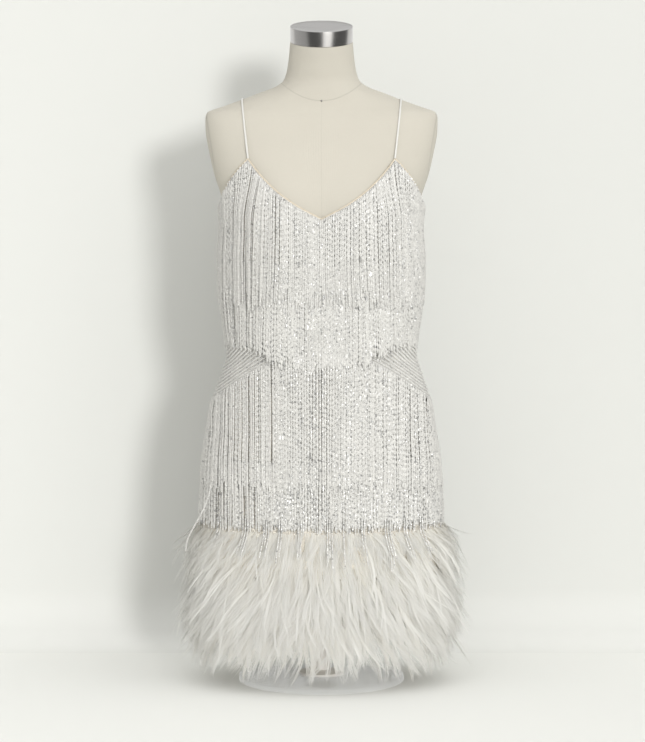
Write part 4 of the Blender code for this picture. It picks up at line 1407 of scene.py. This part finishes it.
def build_fringe(tier, settings, material):
    """One tier of strung beads on its backing tape."""
    chance = np.random.default_rng([SEED, tier.strands, int(tier.tip_z * 1000.0)])
    box = BeadBox(settings, chance)
    count = tier.strands
    spacing = math.tau / count
    tip_turn = even_turns(count, tier.tip_z + EVEN_ABOVE_TIPS)
    right = wearers_right(tier, tip_turn)
    tip_turn = tip_turn + centred(chance, count) * spacing * more_right(SPACING_UNEVEN, right)
    tip_z = tier.tip_z + tier.uneven * chance.random(count) ** TIP_POWER
    tip_z = tip_z + side_rise(tier, tip_turn, tip_z)
    root_z = strand_roots(tier, tip_turn, tip_z)
    sway = centred(chance, count) * spacing * more_right(SWAY, right)
    rope = (chance.random(count) < more_right(ROPE_SHARE, right)).astype(float)
    lift = ROPE_LIFT * (2.0 * rope - 1.0) * more_right(LIFT_SHARE, right)
    lift = lift + LIFT_UNEVEN * centred(chance, count)
    lines = hang_strands(tip_turn, root_z, tip_z, tier.over_z, sway, lift)
    rows = np.broadcast_to(np.linspace(0.0, STREAK_ROWS, lines.shape[1]), lines.shape[:2])
    strand = np.broadcast_to(np.arange(count)[:, None] / STREAK_STRANDS, lines.shape[:2])
    patch = patchy(chance, (rows, strand), (STREAK_ROWS + 2, int(count / STREAK_STRANDS) + 3))
    share = pepper_share(tier, lines[..., 0], patch)
    for index in range(count):
        line = lines[index]
        if chance.random() < tier.loops and index + 1 < count:
            line = np.concatenate((line, loop_end(line[-1], lines[index + 1][-1])))
        box.string(line, rope[index], share[index])
    string_inner_row(tier, box, tip_turn + spacing / 2.0)
    if tier.node == "fringe_4":
        string_clumps(box)
    piece = box.make(tier.name, material, tape_ring(tier))
    return finish_piece(piece, "bead_fringe", tier.node)


LOOP_STEPS = 8


def loop_end(tip, next_tip):
    """A half circle of thread below a strand's tip, over to the next strand."""
    across = next_tip - tip
    across[2] = 0.0
    radius = np.linalg.norm(across) / 2.0
    angles = np.linspace(math.pi, math.tau, LOOP_STEPS + 1)[1:]
    middle = tip + across / 2.0
    lift = np.array((0.0, 0.0, 1.0))
    return middle + radius * (np.cos(angles)[:, None] * unit(across) + np.sin(angles)[:, None] * lift)


# Longer clumps of strands that lie over the feathers, in front and the same again at the back.
Clump = namedtuple("Clump", "x tip_z strands")
CLUMPS = tuple(Clump(*row) for row in (
    (-0.146, 0.214, 2), (-0.109, 0.196, 3), (-0.079, 0.204, 3), (-0.059, 0.190, 2), (-0.031, 0.190, 2),
    (0.012, 0.192, 3), (0.032, 0.190, 1), (0.060, 0.196, 2), (0.095, 0.186, 3), (0.120, 0.198, 2),
    (0.143, 0.198, 2),
))
CLUMP_ROOT_Z = 0.262
CLUMP_UNEVEN = 0.020
CLUMP_STEPS = 24
CLUMP_OUT = 0.0085
CLUMP_SWING = 0.0290      # how far the feathers push a clump's tip out
CLUMP_SWING_Z = 0.246     # they push from here down
CLUMP_SWING_RUN = 0.050
CLUMP_SPREAD = 0.0033
CLUMP_PEPPER = 0.50
CLUMP_GIRTH = 0.78
STRAY_TURN = -1.05        # a loose strand that swings out at the wearer's right
STRAY_ROOT_Z = 0.312
STRAY_TIP_Z = 0.206
STRAY_STEPS = 40
STRAY_SWAY = -0.16
STRAY_OUT = (0.011, 0.026)  # off the cloth at its root, and how much further at its tip


def string_clumps(box):
    for back in (False, True):
        for clump in CLUMPS:
            for index in range(clump.strands):
                x = clump.x + (index - (clump.strands - 1) / 2.0) * CLUMP_SPREAD
                tip_z = clump.tip_z + CLUMP_UNEVEN * box.chance.random()
                height = np.linspace(CLUMP_ROOT_Z, tip_z, CLUMP_STEPS)
                swing = smooth_step((CLUMP_SWING_Z - height) / CLUMP_SWING_RUN)
                turn = turn_at(x, height)
                turn = np.sign(x) * (math.pi - turn if back else turn)
                line = off_cloth(turn, height, CLUMP_OUT + CLUMP_SWING * swing)[0]
                box.string(line, 0.0, CLUMP_PEPPER, girth=CLUMP_GIRTH)
    height = np.linspace(STRAY_ROOT_Z, STRAY_TIP_Z, STRAY_STEPS)
    swing = smooth_step((STRAY_ROOT_Z - height) / (STRAY_ROOT_Z - STRAY_TIP_Z))
    out = STRAY_OUT[0] + STRAY_OUT[1] * swing
    box.string(off_cloth(STRAY_TURN + STRAY_SWAY * swing ** 2, height, out)[0], 1.0, 0.0)


HIP_SEED = 26
HIP_STEPS = 1600
HIP_ROWS = 15             # white rows, each with a silver one above it
HIP_ROW_PITCH = 0.0062
HIP_ROWS_DOWN = 0.001
HIP_ROWS_TOP_Z = 0.540
HIP_GIRTH = 0.95
HIP_LEAST_STEPS = 4       # the shortest row that is strung
# White rows stand out, and silver ones lie between them.
HIP_ROW_OUT = (0.0027, 0.0014)
HIP_PEPPER = (0.04, 0.34)
HIP_ROPE = (1.0, 0.0)


def build_hip_rows(settings, material):
    """Rows of beads sewn to the cloth above the third tier, along its root line."""
    box = BeadBox(settings, np.random.default_rng(HIP_SEED))
    around = np.linspace(0.0, 4.0, HIP_STEPS + 1)
    for row in range(2 * HIP_ROWS):
        height = hip_line(around) - HIP_ROWS_DOWN + HIP_ROW_PITCH * (row + 1.0) / 2.0
        out, pepper, rope = (pair[row % 2] for pair in (HIP_ROW_OUT, HIP_PEPPER, HIP_ROPE))
        line = off_place(around, height, out)[0]
        # It is strung where it shows: all round, or on both hips.
        shown = np.concatenate(([False], height < HIP_ROWS_TOP_Z, [False]))
        changes = np.flatnonzero(np.diff(shown.astype(int)))
        for start, end in zip(changes[::2], changes[1::2]):
            if end - start > HIP_LEAST_STEPS:
                box.string(line[start:end], rope, pepper, girth=HIP_GIRTH)
    piece = box.make("hip_bead_rows", material)
    return finish_piece(piece, "bead_fringe")


# ---------------------------------------------------------------- feather hem
BARB_ROWS = 5
BARB_BELLY = 0.55         # a barb's width at its root, as a share of its greatest
BARB_TAPER = 0.35
# How far the feathers stand off the cloth, by height.
FEATHER_REACH = SectionTable("height out", (
    (0.008, 0.004),
    (0.027, 0.022),
    (0.045, 0.034),
    (0.070, 0.0395),
    (0.110, 0.0400),
    (0.170, 0.0370),
    (0.205, 0.034),
    (0.225, 0.029),
    (0.244, 0.016),
))
FEATHER_LOWEST = 0.007
TRANSLUCENCE = 0.48
VEIL = 0.88               # how much of the lamps' light passes between a barb's fine hairs
Plumes = namedtuple("Plumes", "name node wisps root_low root_high tip_low tip_high root_out")
PLUMES = (
    Plumes("feathers_upper", "feather_trim_upper", 1380, 0.170, 0.241, 0.060, 0.221, 0.0035),
    Plumes("feathers_lower", "feather_trim_lower", 1310, 0.085, 0.188, 0.008, 0.125, -0.0005),
)


def feather_material(settings):
    """Soft ivory barbs that let light through, warmer deep in the trim."""
    material, tree, shader = new_material("ostrich_feather", 0.8)
    depth = add_node(tree, "Attribute", attribute_name="depth").outputs["Fac"]
    tone = add_node(tree, "Attribute", attribute_name="tone").outputs["Fac"]
    patches = use_group(tree, patches_group(), Vector=place_in_object(tree), Patches=40.0, Contrast=0.05)
    base = mix_colour(tree, depth, opaque(settings.painted_shade_colour), opaque(settings.feather_colour))
    colour = mix_colour(tree, 1.0, base, maths(tree, "MULTIPLY", tone, patches["Tone"]), "MULTIPLY")
    tree.links.new(colour, shader.inputs["Base Color"])
    shader.inputs["Specular IOR Level"].default_value = 0.15
    shader.inputs["Sheen Weight"].default_value = 0.12
    shader.inputs["Sheen Roughness"].default_value = 0.5
    through = add_node(tree, "BsdfTranslucent", {"Color": colour})
    barb = mix_shaders(tree, TRANSLUCENCE, shader.outputs["BSDF"], through.outputs["BSDF"])
    veil = mix_shaders(tree, VEIL, barb, add_node(tree, "BsdfTransparent").outputs["BSDF"])
    shadow = add_node(tree, "LightPath").outputs["Is Shadow Ray"]
    set_surface(tree, mix_shaders(tree, shadow, barb, veil))
    return material


def barb_ribbons(roots, bends, tips, across, width):
    """Tapering ribbons on curves from roots over bends to tips, as points and triangles."""
    count = len(roots)
    rings = []
    for row in range(BARB_ROWS):
        share = row / BARB_ROWS
        stay = 1.0 - share
        middle = roots * stay ** 2 + 2.0 * bends * share * stay + tips * share ** 2
        swell = BARB_BELLY + (1.0 - BARB_BELLY) * math.sin(math.pi * share)
        half = (across * width[:, None] / 2.0) * swell * stay ** BARB_TAPER
        rings += [middle - half, middle + half]
    rings.append(tips)
    points = np.stack(rings, axis=1)
    pattern = []
    for row in range(BARB_ROWS - 1):
        left, right, left_next, right_next = (2 * row + step for step in range(4))
        pattern += [(left, right_next, right), (left, left_next, right_next)]
    pattern.append((2 * BARB_ROWS - 2, 2 * BARB_ROWS, 2 * BARB_ROWS - 1))
    size = 2 * BARB_ROWS + 1
    faces = np.array(pattern)[None] + size * np.arange(count)[:, None, None]
    return points.reshape(-1, 3), faces.reshape(-1, 3), size


# Ranges of random numbers: the least one and the spread above it.
WISP_LENGTHS = (0.046, 0.050)
WISP_REACHES = (0.90, 0.14)
WISP_BELLIES = (0.25, 0.45)  # how far out a wisp bends, between its root and its tip
WISP_BENDS = (0.34, 0.26)    # and how far down it
WISP_GIRTHS = (0.0026, 0.0030)
BARB_REACHES = (0.94, 0.12)
BARB_WIDTHS = (0.75, 0.5)
WISP_TONES = (0.94, 0.06)
BARB_TONES = (0.97, 0.05)

TURN_UNEVEN = 0.02
ROOT_UNEVEN = 0.005       # in height
ROOT_OUT_UNEVEN = 0.003
WISP_DEPTH = 0.62         # how much nearer to the cloth the deepest wisps lie
DEPTH_POWER = 1.5
STRAY_WISPS = 0.11        # the share of wisps that stand out further than the rest
STRAY_GIRTH = 0.5
STRAY_REACH = 0.017
STRAY_FRONT = 0.35        # the share of that which they have in front
WISP_LEAN = 0.26          # sideways lean, as a share of a wisp's drop
WISP_FAN = 0.42           # and how far they lean to the sides between the fronts and the sides
WISP_CURL = 0.009         # sideways curl
QUILL_SHARE = 0.06        # the share of wisps whose barbs lie close, as one bright curled strand
QUILL_LENGTH = 0.020      # how much longer they are
QUILL_REACH = 0.042       # how far they stand out at least, at the sides
QUILL_CURL = 0.9
QUILL_CLOSE = 0.72        # how much closer their barbs lie
QUILL_TONE = 0.07
BARB_SHORT = 0.34         # how much shorter than its wisp a barb can be
QUILL_SHORT = 0.22        # and how much less so in a quill
# How a wisp's width opens at its roots, bend and tips.
LANE_SHARES = (0.4, 1.5, 0.2)
# How far barbs stray: sideways at the root, bend and tip, then out at the tip (a share of the
# wisp's own range) and at the bend, and how far down the bend is.
BARB_STRAY = (0.0015, 0.003, 0.005, 1.0, 0.003, 0.08)
BARB_ROLL = 0.9           # how far barbs turn about their own line, in radians
# Their normals, as those of rounded wisps that face the light.
WISP_HALF_WIDTH = 0.0056
WISP_ROUND = 0.30
BARB_SHEEN = 0.10
NORMAL_LIFT = 0.18
ROOT_LIGHT = 0.45         # how much of the outer colour a barb keeps at its root; the rest is the painted shade colour
ROOT_LIGHT_RISE = 1.6


def build_plumes(plumes, settings, material):
    """One layer of the hem: pointed wisps of fine barbs that flare from the cloth and curl."""
    chance = np.random.default_rng([SEED, plumes.wisps])
    count = plumes.wisps
    barbs = settings.barbs
    turn = even_turns(count, WISPS_EVEN_Z) + centred(chance, count) * TURN_UNEVEN
    chance.shuffle(turn)
    aside = np.abs(np.sin(turn))
    tip_z = scatter(chance, plumes.tip_low, plumes.tip_high - plumes.tip_low, count)
    drop = scatter(chance, *WISP_LENGTHS, count)
    quill = (chance.random(count) < QUILL_SHARE).astype(float)
    drop = drop + QUILL_LENGTH * quill
    root_top = plumes.root_high - ROOT_UNEVEN * chance.random(count)
    root_z = np.clip(tip_z + drop, plumes.root_low, root_top)
    depth = 1.0 - WISP_DEPTH * chance.random(count) ** DEPTH_POWER * (1.0 - quill)
    reach = FEATHER_REACH.at(tip_z).out * depth * scatter(chance, *WISP_REACHES, count)
    stray = chance.random(count) < STRAY_WISPS
    stray_reach = STRAY_REACH * (STRAY_FRONT + (1.0 - STRAY_FRONT) * aside) * chance.random(count)
    reach = np.maximum(reach, QUILL_REACH * quill * aside)
    reach = reach + np.maximum(stray, quill) * stray_reach
    lean = (root_z - tip_z) * (WISP_LEAN * chance.normal(size=count) + WISP_FAN * np.sin(2.0 * turn))
    curl = WISP_CURL * chance.normal(size=count) * (1.0 + QUILL_CURL * quill)
    belly = scatter(chance, *WISP_BELLIES, count)
    bend_share = scatter(chance, *WISP_BENDS, count)
    root_out = scatter(chance, plumes.root_out, ROOT_OUT_UNEVEN, count)
    girth = np.where(stray, STRAY_GIRTH, 1.0) * scatter(chance, *WISP_GIRTHS, count)
    girth = girth * (1.0 - QUILL_CLOSE * quill)

    def spread(values):
        return np.repeat(values, barbs)

    total = count * barbs
    lane = np.tile(np.linspace(-1.0, 1.0, barbs), count) * spread(girth)
    jitter = centred(chance, (total, 6)) * (1.0 - QUILL_CLOSE * spread(quill))[:, None]
    root_aside, bend_aside, tip_aside, tip_out, bend_out, bend_down = (jitter * BARB_STRAY).T
    end = 1.0 - (BARB_SHORT - QUILL_SHORT * spread(quill)) * chance.random(total) ** 2
    high = spread(root_z)
    low = np.maximum(high + (spread(tip_z) - high) * end, FEATHER_LOWEST)
    bend_z = high - (high - low) * (spread(bend_share) + bend_down)
    metres = np.linalg.norm(level_run(spread(turn), high), axis=-1)
    aside_root = lane * LANE_SHARES[0] + root_aside
    aside_bend = spread(lean * 0.5 + curl) + lane * LANE_SHARES[1] + bend_aside
    aside_tip = spread(lean) + lane * LANE_SHARES[2] + tip_aside
    out_root = spread(root_out)
    out_tip = spread(reach) * (BARB_REACHES[0] + BARB_REACHES[1] * (tip_out + 0.5))
    out_bend = out_root + (out_tip - out_root) * spread(belly) + bend_out
    base = spread(turn)
    roots, facing = off_cloth(base + aside_root / metres, high, out_root)
    bends = off_cloth(base + aside_bend / metres, bend_z, out_bend)[0]
    tips = off_cloth(base + aside_tip / metres, low, out_tip)[0]
    level = np.stack((-facing[:, 1], facing[:, 0], np.zeros(total)), axis=-1)
    roll = (BARB_ROLL * centred(chance, total))[:, None]
    across = unit(level + facing * roll)
    width = settings.barb_width * scatter(chance, *BARB_WIDTHS, total)
    points, faces, size = barb_ribbons(roots, bends, tips, across, width)
    piece = mesh_object(plumes.name, points, [faces], material)
    rounded = facing + level * (lane / WISP_HALF_WIDTH)[:, None] * WISP_ROUND
    rounded = rounded + BARB_SHEEN * centred(chance, (total, 3))
    rounded[:, 2] += NORMAL_LIFT
    normals = np.repeat(unit(rounded), size, axis=0)
    piece.data.normals_split_custom_set_from_vertices(normals)
    # painted shade: deep wisps and barb roots take more of the painted shade colour
    shares = np.append(np.repeat(np.arange(BARB_ROWS) / BARB_ROWS, 2), 1.0)
    lit = ROOT_LIGHT + (1.0 - ROOT_LIGHT) * smooth_step(shares * ROOT_LIGHT_RISE)
    set_values(piece, "depth", np.clip(spread(depth)[:, None] * lit[None], 0.0, 1.0).ravel())
    tone = spread(scatter(chance, *WISP_TONES, count) + QUILL_TONE * quill)
    tone = tone * scatter(chance, *BARB_TONES, total)
    set_values(piece, "tone", np.repeat(tone, size))
    return finish_piece(piece, "ostrich_feather", plumes.node)


# ---------------------------------------------------------------- stage, light and camera
WALL_Y = 0.30
WALL_HALF_WIDTH = 4.0
WALL_TOP_Z = 3.2
COVE_RADIUS = 0.09
COVE_LIFT = 0.0005        # keeps the cove's foot clear of the floor
COVE_BLEND = 0.027        # the height over which the floor's colour becomes the wall's
COVE_POWER = 0.35
FLOOR_DEPTH = 5.0
FLOOR_Z = -0.0004         # a hair below the clear plate, so that the floor shows through it
CAMERA_X = 0.0015
CAMERA_Y = -4.2
CAMERA_Z = 0.82
AIM_Z = 0.4695
VIEW_HEIGHT = 1.118       # what the camera takes in at the middle of the dress
SENSOR = 36.0


def reflected(tree):
    """1 for a ray that something shiny reflects, and 0 for one that passes through glass."""
    path = add_node(tree, "LightPath")
    return maths(tree, "GREATER_THAN", path.outputs["Is Glossy Ray"], path.outputs["Is Transmission Ray"])


def paper_material(name, colour, thin, low_colour=None):
    """Plain paper. Where thin, it shows only from the front and lets the lamps' light through."""
    material, tree, shader = new_material(name, 0.95)
    shader.inputs["Base Color"].default_value = opaque(colour)
    if low_colour is not None:
        height = add_node(tree, "SeparateXYZ", {"Vector": place_in_object(tree)}).outputs["Z"]
        rise = add_node(tree, "MapRange", {"Value": height, "From Max": COVE_BLEND}).outputs[0]
        rise = maths(tree, "POWER", rise, COVE_POWER)
        blend = mix_colour(tree, rise, opaque(low_colour), opaque(colour))
        tree.links.new(blend, shader.inputs["Base Color"])
    shader.inputs["Specular IOR Level"].default_value = 0.0
    clear = add_node(tree, "BsdfTransparent")
    unseen = reflected(tree)
    if thin:
        behind = add_node(tree, "NewGeometry").outputs["Backfacing"]
        shadow = add_node(tree, "LightPath").outputs["Is Shadow Ray"]
        unseen = maths(tree, "MAXIMUM", unseen, maths(tree, "MAXIMUM", behind, shadow))
    set_surface(tree, mix_shaders(tree, unseen, shader.outputs["BSDF"], clear.outputs["BSDF"]))
    return material


def build_stage(settings):
    """A pale floor and, close behind the dress, a pale wall that the shadow falls on."""
    corners = ((-1.0, -1.0), (1.0, -1.0), (1.0, 1.0), (-1.0, 1.0))
    floor_points = np.array([(x * FLOOR_DEPTH, y * FLOOR_DEPTH, FLOOR_Z) for x, y in corners])
    floor = mesh_object("stage_floor", floor_points, [np.array([[0, 1, 2, 3]])],
                        paper_material("stage_floor", settings.floor_colour, False), smooth=False)
    angles = np.linspace(0.0, math.pi / 2.0, 13)
    curve_y = WALL_Y - COVE_RADIUS * (1.0 - np.sin(angles))
    curve_z = COVE_RADIUS * (1.0 - np.cos(angles)) + COVE_LIFT
    y = np.append(curve_y, WALL_Y)
    z = np.append(curve_z, WALL_TOP_Z)
    rows = len(y)
    wall_points = np.stack([
        np.stack((np.full(rows, side * WALL_HALF_WIDTH), y, z), axis=-1) for side in (-1.0, 1.0)], axis=1)
    wall = mesh_object("stage_wall", wall_points.reshape(-1, 3), [grid_faces(rows, 2, closed=False)[0]],
                       paper_material("stage_paper", settings.paper_colour, True, settings.floor_colour))


def add_sun(name, strength, azimuth, elevation, spread):
    """A far soft light. Azimuth 0 comes from the camera's side and 90 from +X."""
    light = bpy.data.lights.new(name, "SUN")
    light.energy = strength
    light.angle = math.radians(spread)
    lamp = bpy.data.objects.new(name, light)
    turn, rise = math.radians(azimuth), math.radians(elevation)
    towards = Vector((math.sin(turn) * math.cos(rise), -math.cos(turn) * math.cos(rise), math.sin(rise)))
    lamp.rotation_euler = towards.to_track_quat("Z", "Y").to_euler()
    bpy.context.scene.collection.objects.link(lamp)


FILL_PLACE = Vector((-1.6, -0.8, 0.18))
FILL_AIM = Vector((-0.2, 0.25, 0.25))
FILL_SIZE = 0.8


def add_panel_light(power):
    """A low soft panel on the wearer's right, which lightens the shadow on the wall."""
    light = bpy.data.lights.new("low_fill", "AREA")
    light.energy = power
    light.size = FILL_SIZE
    lamp = bpy.data.objects.new("low_fill", light)
    lamp.location = FILL_PLACE
    lamp.rotation_euler = (FILL_AIM - FILL_PLACE).to_track_quat("-Z", "Y").to_euler()
    lamp.visible_glossy = False
    bpy.context.scene.collection.objects.link(lamp)


# What shiny pieces see round them: a share of a full turn, counted from behind over the
# wearer's right to the front and on, and how bright it is there.
STUDIO_BANDS = (
    (0.00, 0.95), (0.150, 0.90), (0.175, 0.52), (0.335, 0.42), (0.365, 0.10), (0.505, 0.09),
    (0.530, 1.30), (0.600, 1.45), (0.630, 0.08), (0.800, 0.13), (0.830, 0.90), (1.00, 0.95),
)
STUDIO_ABOVE = 0.60
SKY_FALL_OFF = 0.25       # how much weaker the soft light is from the wearer's right


SOFT_COLOUR = (1.0, 1.0, 0.985, 1.0)
ABOVE_RISE = (0.18, 0.42)  # between these heights of its direction, a reflection turns to above
# Azimuth, elevation and spread, in degrees.
KEY_LIGHT = (19.5, 10.5, 9.5)
TOP_LIGHT = (20.0, 55.0, 80.0)


def light_stage(settings):
    add_sun("key_light", settings.key_strength, *KEY_LIGHT)
    add_sun("top_light", settings.top_strength, *TOP_LIGHT)
    add_panel_light(settings.fill_power)
    world = bpy.data.worlds.new("studio")
    bpy.context.scene.world = world
    world.use_nodes = True
    tree = world.node_tree
    soft = tree.nodes["Background"]
    soft.inputs["Color"].default_value = SOFT_COLOUR
    direction = add_node(tree, "TexCoord").outputs["Generated"]
    parts = add_node(tree, "SeparateXYZ", {"Vector": direction})
    shade = maths(tree, "MULTIPLY", maths(tree, "MINIMUM", parts.outputs["X"], 0.0), SKY_FALL_OFF)
    strength = maths(tree, "MULTIPLY", maths(tree, "ADD", shade, 1.0), settings.sky_strength)
    tree.links.new(strength, soft.inputs["Strength"])
    turn = maths(tree, "ARCTAN2", parts.outputs["X"], maths(tree, "MULTIPLY", parts.outputs["Y"], -1.0))
    ramp = add_node(tree, "ValToRGB", {"Fac": maths(tree, "MULTIPLY_ADD", turn, 1.0 / math.tau, 0.5)})
    stops = ramp.color_ramp.elements
    stops.remove(stops[0])
    for index, (place, level) in enumerate(STUDIO_BANDS):
        stop = stops[0] if index == 0 else stops.new(place)
        stop.position = place
        stop.color = (level, level, level, 1.0)
    rise = add_node(tree, "MapRange", {
        "Value": parts.outputs["Z"], "From Min": ABOVE_RISE[0], "From Max": ABOVE_RISE[1]})
    level = mix_colour(tree, rise.outputs[0], ramp.outputs["Color"], opaque([STUDIO_ABOVE] * 3))
    gloss = add_node(tree, "Background", {"Color": level, "Strength": 1.0})
    mix = mix_shaders(tree, reflected(tree), soft.outputs[0], gloss.outputs[0])
    set_surface(tree, mix, "World Output")
    bpy.context.scene.view_settings.view_transform = "Standard"


def place_camera():
    data = bpy.data.cameras.new("camera")
    camera = bpy.data.objects.new("camera", data)
    bpy.context.scene.collection.objects.link(camera)
    place = Vector((CAMERA_X, CAMERA_Y, CAMERA_Z))
    aim = Vector((CAMERA_X, 0.0, AIM_Z))
    camera.location = place
    camera.rotation_euler = (aim - place).to_track_quat("-Z", "Y").to_euler()
    data.sensor_width = SENSOR
    data.lens = SENSOR * (aim - place).length / VIEW_HEIGHT
    data.clip_end = 100.0
    bpy.context.scene.camera = camera


# ---------------------------------------------------------------- operators
class FLAPPER_OT_dress_form(bpy.types.Operator):
    """Build the form's linen cover with its seams, and the pin on its neck seam"""

    bl_idname = "flapper.dress_form"
    bl_label = "Dress Form"

    def execute(self, context):
        build_form_cover(context.scene.dress_form)
        build_neck_pin(context.scene.dress_form)
        return {"FINISHED"}


class FLAPPER_OT_neck_cap(bpy.types.Operator):
    """Build the brushed steel cap on the neck"""

    bl_idname = "flapper.neck_cap"
    bl_label = "Neck Cap"

    def execute(self, context):
        build_neck_cap(context.scene.dress_form)
        return {"FINISHED"}


class FLAPPER_OT_stand(bpy.types.Operator):
    """Build the post and the glass plate that the form stands on"""

    bl_idname = "flapper.stand"
    bl_label = "Stand"

    def execute(self, context):
        build_post(context.scene.dress_form)
        build_base_plate(context.scene.dress_form)
        return {"FINISHED"}


class FLAPPER_OT_fringe(bpy.types.Operator):
    """String the four tiers of bead fringe and the bead rows over the hips"""

    bl_idname = "flapper.fringe"
    bl_label = "Bead Fringe"

    def execute(self, context):
        material = bead_material(context.scene.dress_fringe)
        for tier in TIERS:
            build_fringe(tier, context.scene.dress_fringe, material)
        build_hip_rows(context.scene.dress_fringe, material)
        return {"FINISHED"}


class FLAPPER_OT_feathers(bpy.types.Operator):
    """Lay the two layers of ostrich feather round the hem"""

    bl_idname = "flapper.feathers"
    bl_label = "Feather Hem"

    def execute(self, context):
        material = feather_material(context.scene.dress_feathers)
        for plumes in PLUMES:
            build_plumes(plumes, context.scene.dress_feathers, material)
        return {"FINISHED"}


class FLAPPER_OT_straps(bpy.types.Operator):
    """Build the satin straps and the binding on the top edge"""

    bl_idname = "flapper.straps"
    bl_label = "Straps and Binding"

    def execute(self, context):
        settings = context.scene.dress_cloth
        material = satin_material("strap_satin", settings.satin_colour)
        for side in ("left", "right"):
            build_strap(f"strap_{side}_satin", f"strap_{side}", material)
        build_binding(settings)
        return {"FINISHED"}


class FLAPPER_OT_cloth(bpy.types.Operator):
    """Build the front and back cloth panels, with what is sewn to each"""

    bl_idname = "flapper.cloth"
    bl_label = "Cloth Panels"

    def execute(self, context):
        settings = context.scene.dress_cloth
        material = net_material(settings)
        front, front_cut, front_area = build_panel(
            "dress_front_cloth", "dress_front", -1.0, 1.0, settings, material)
        back, back_cut, back_area = build_panel(
            "dress_back_cloth", "dress_back", 1.0, 3.0, settings, material)
        return {"FINISHED"}


class FLAPPER_OT_stage(bpy.types.Operator):
    """Set the floor, the wall, the lights and the camera"""

    bl_idname = "flapper.stage"
    bl_label = "Stage"

    def execute(self, context):
        build_stage(context.scene.dress_stage)
        light_stage(context.scene.dress_stage)
        place_camera()
        return {"FINISHED"}


OPERATORS = (
    FLAPPER_OT_dress_form,
    FLAPPER_OT_neck_cap,
    FLAPPER_OT_stand,
    FLAPPER_OT_straps,
    FLAPPER_OT_cloth,
    FLAPPER_OT_fringe,
    FLAPPER_OT_feathers,
    FLAPPER_OT_stage,
)


class FLAPPER_PT_sidebar(bpy.types.Panel):
    """Lists the dress's pieces and their settings"""

    bl_idname = "FLAPPER_PT_sidebar"
    bl_label = "Flapper Dress"
    bl_space_type = "VIEW_3D"
    bl_region_type = "UI"
    bl_category = "Flapper Dress"

    def draw(self, context):
        for operator in OPERATORS:
            self.layout.operator(operator.bl_idname)
        for name, group in SETTINGS.items():
            column = self.layout.column(heading=group.__doc__)
            for field in group.__annotations__:
                column.prop(getattr(context.scene, name), field)


def register():
    for name, group in SETTINGS.items():
        bpy.utils.register_class(group)
        setattr(bpy.types.Scene, name, PointerProperty(type=group))
    for operator in OPERATORS:
        bpy.utils.register_class(operator)
    bpy.utils.register_class(FLAPPER_PT_sidebar)


def unregister():
    bpy.utils.unregister_class(FLAPPER_PT_sidebar)
    for operator in reversed(OPERATORS):
        bpy.utils.unregister_class(operator)
    for name, group in reversed(SETTINGS.items()):
        delattr(bpy.types.Scene, name)
        bpy.utils.unregister_class(group)


def main():
    register()
    bpy.ops.flapper.dress_form()
    bpy.ops.flapper.neck_cap()
    bpy.ops.flapper.stand()
    bpy.ops.flapper.straps()
    bpy.ops.flapper.cloth()
    bpy.ops.flapper.fringe()
    bpy.ops.flapper.feathers()
    bpy.ops.flapper.stage()


if __name__ == "__main__":
    main()
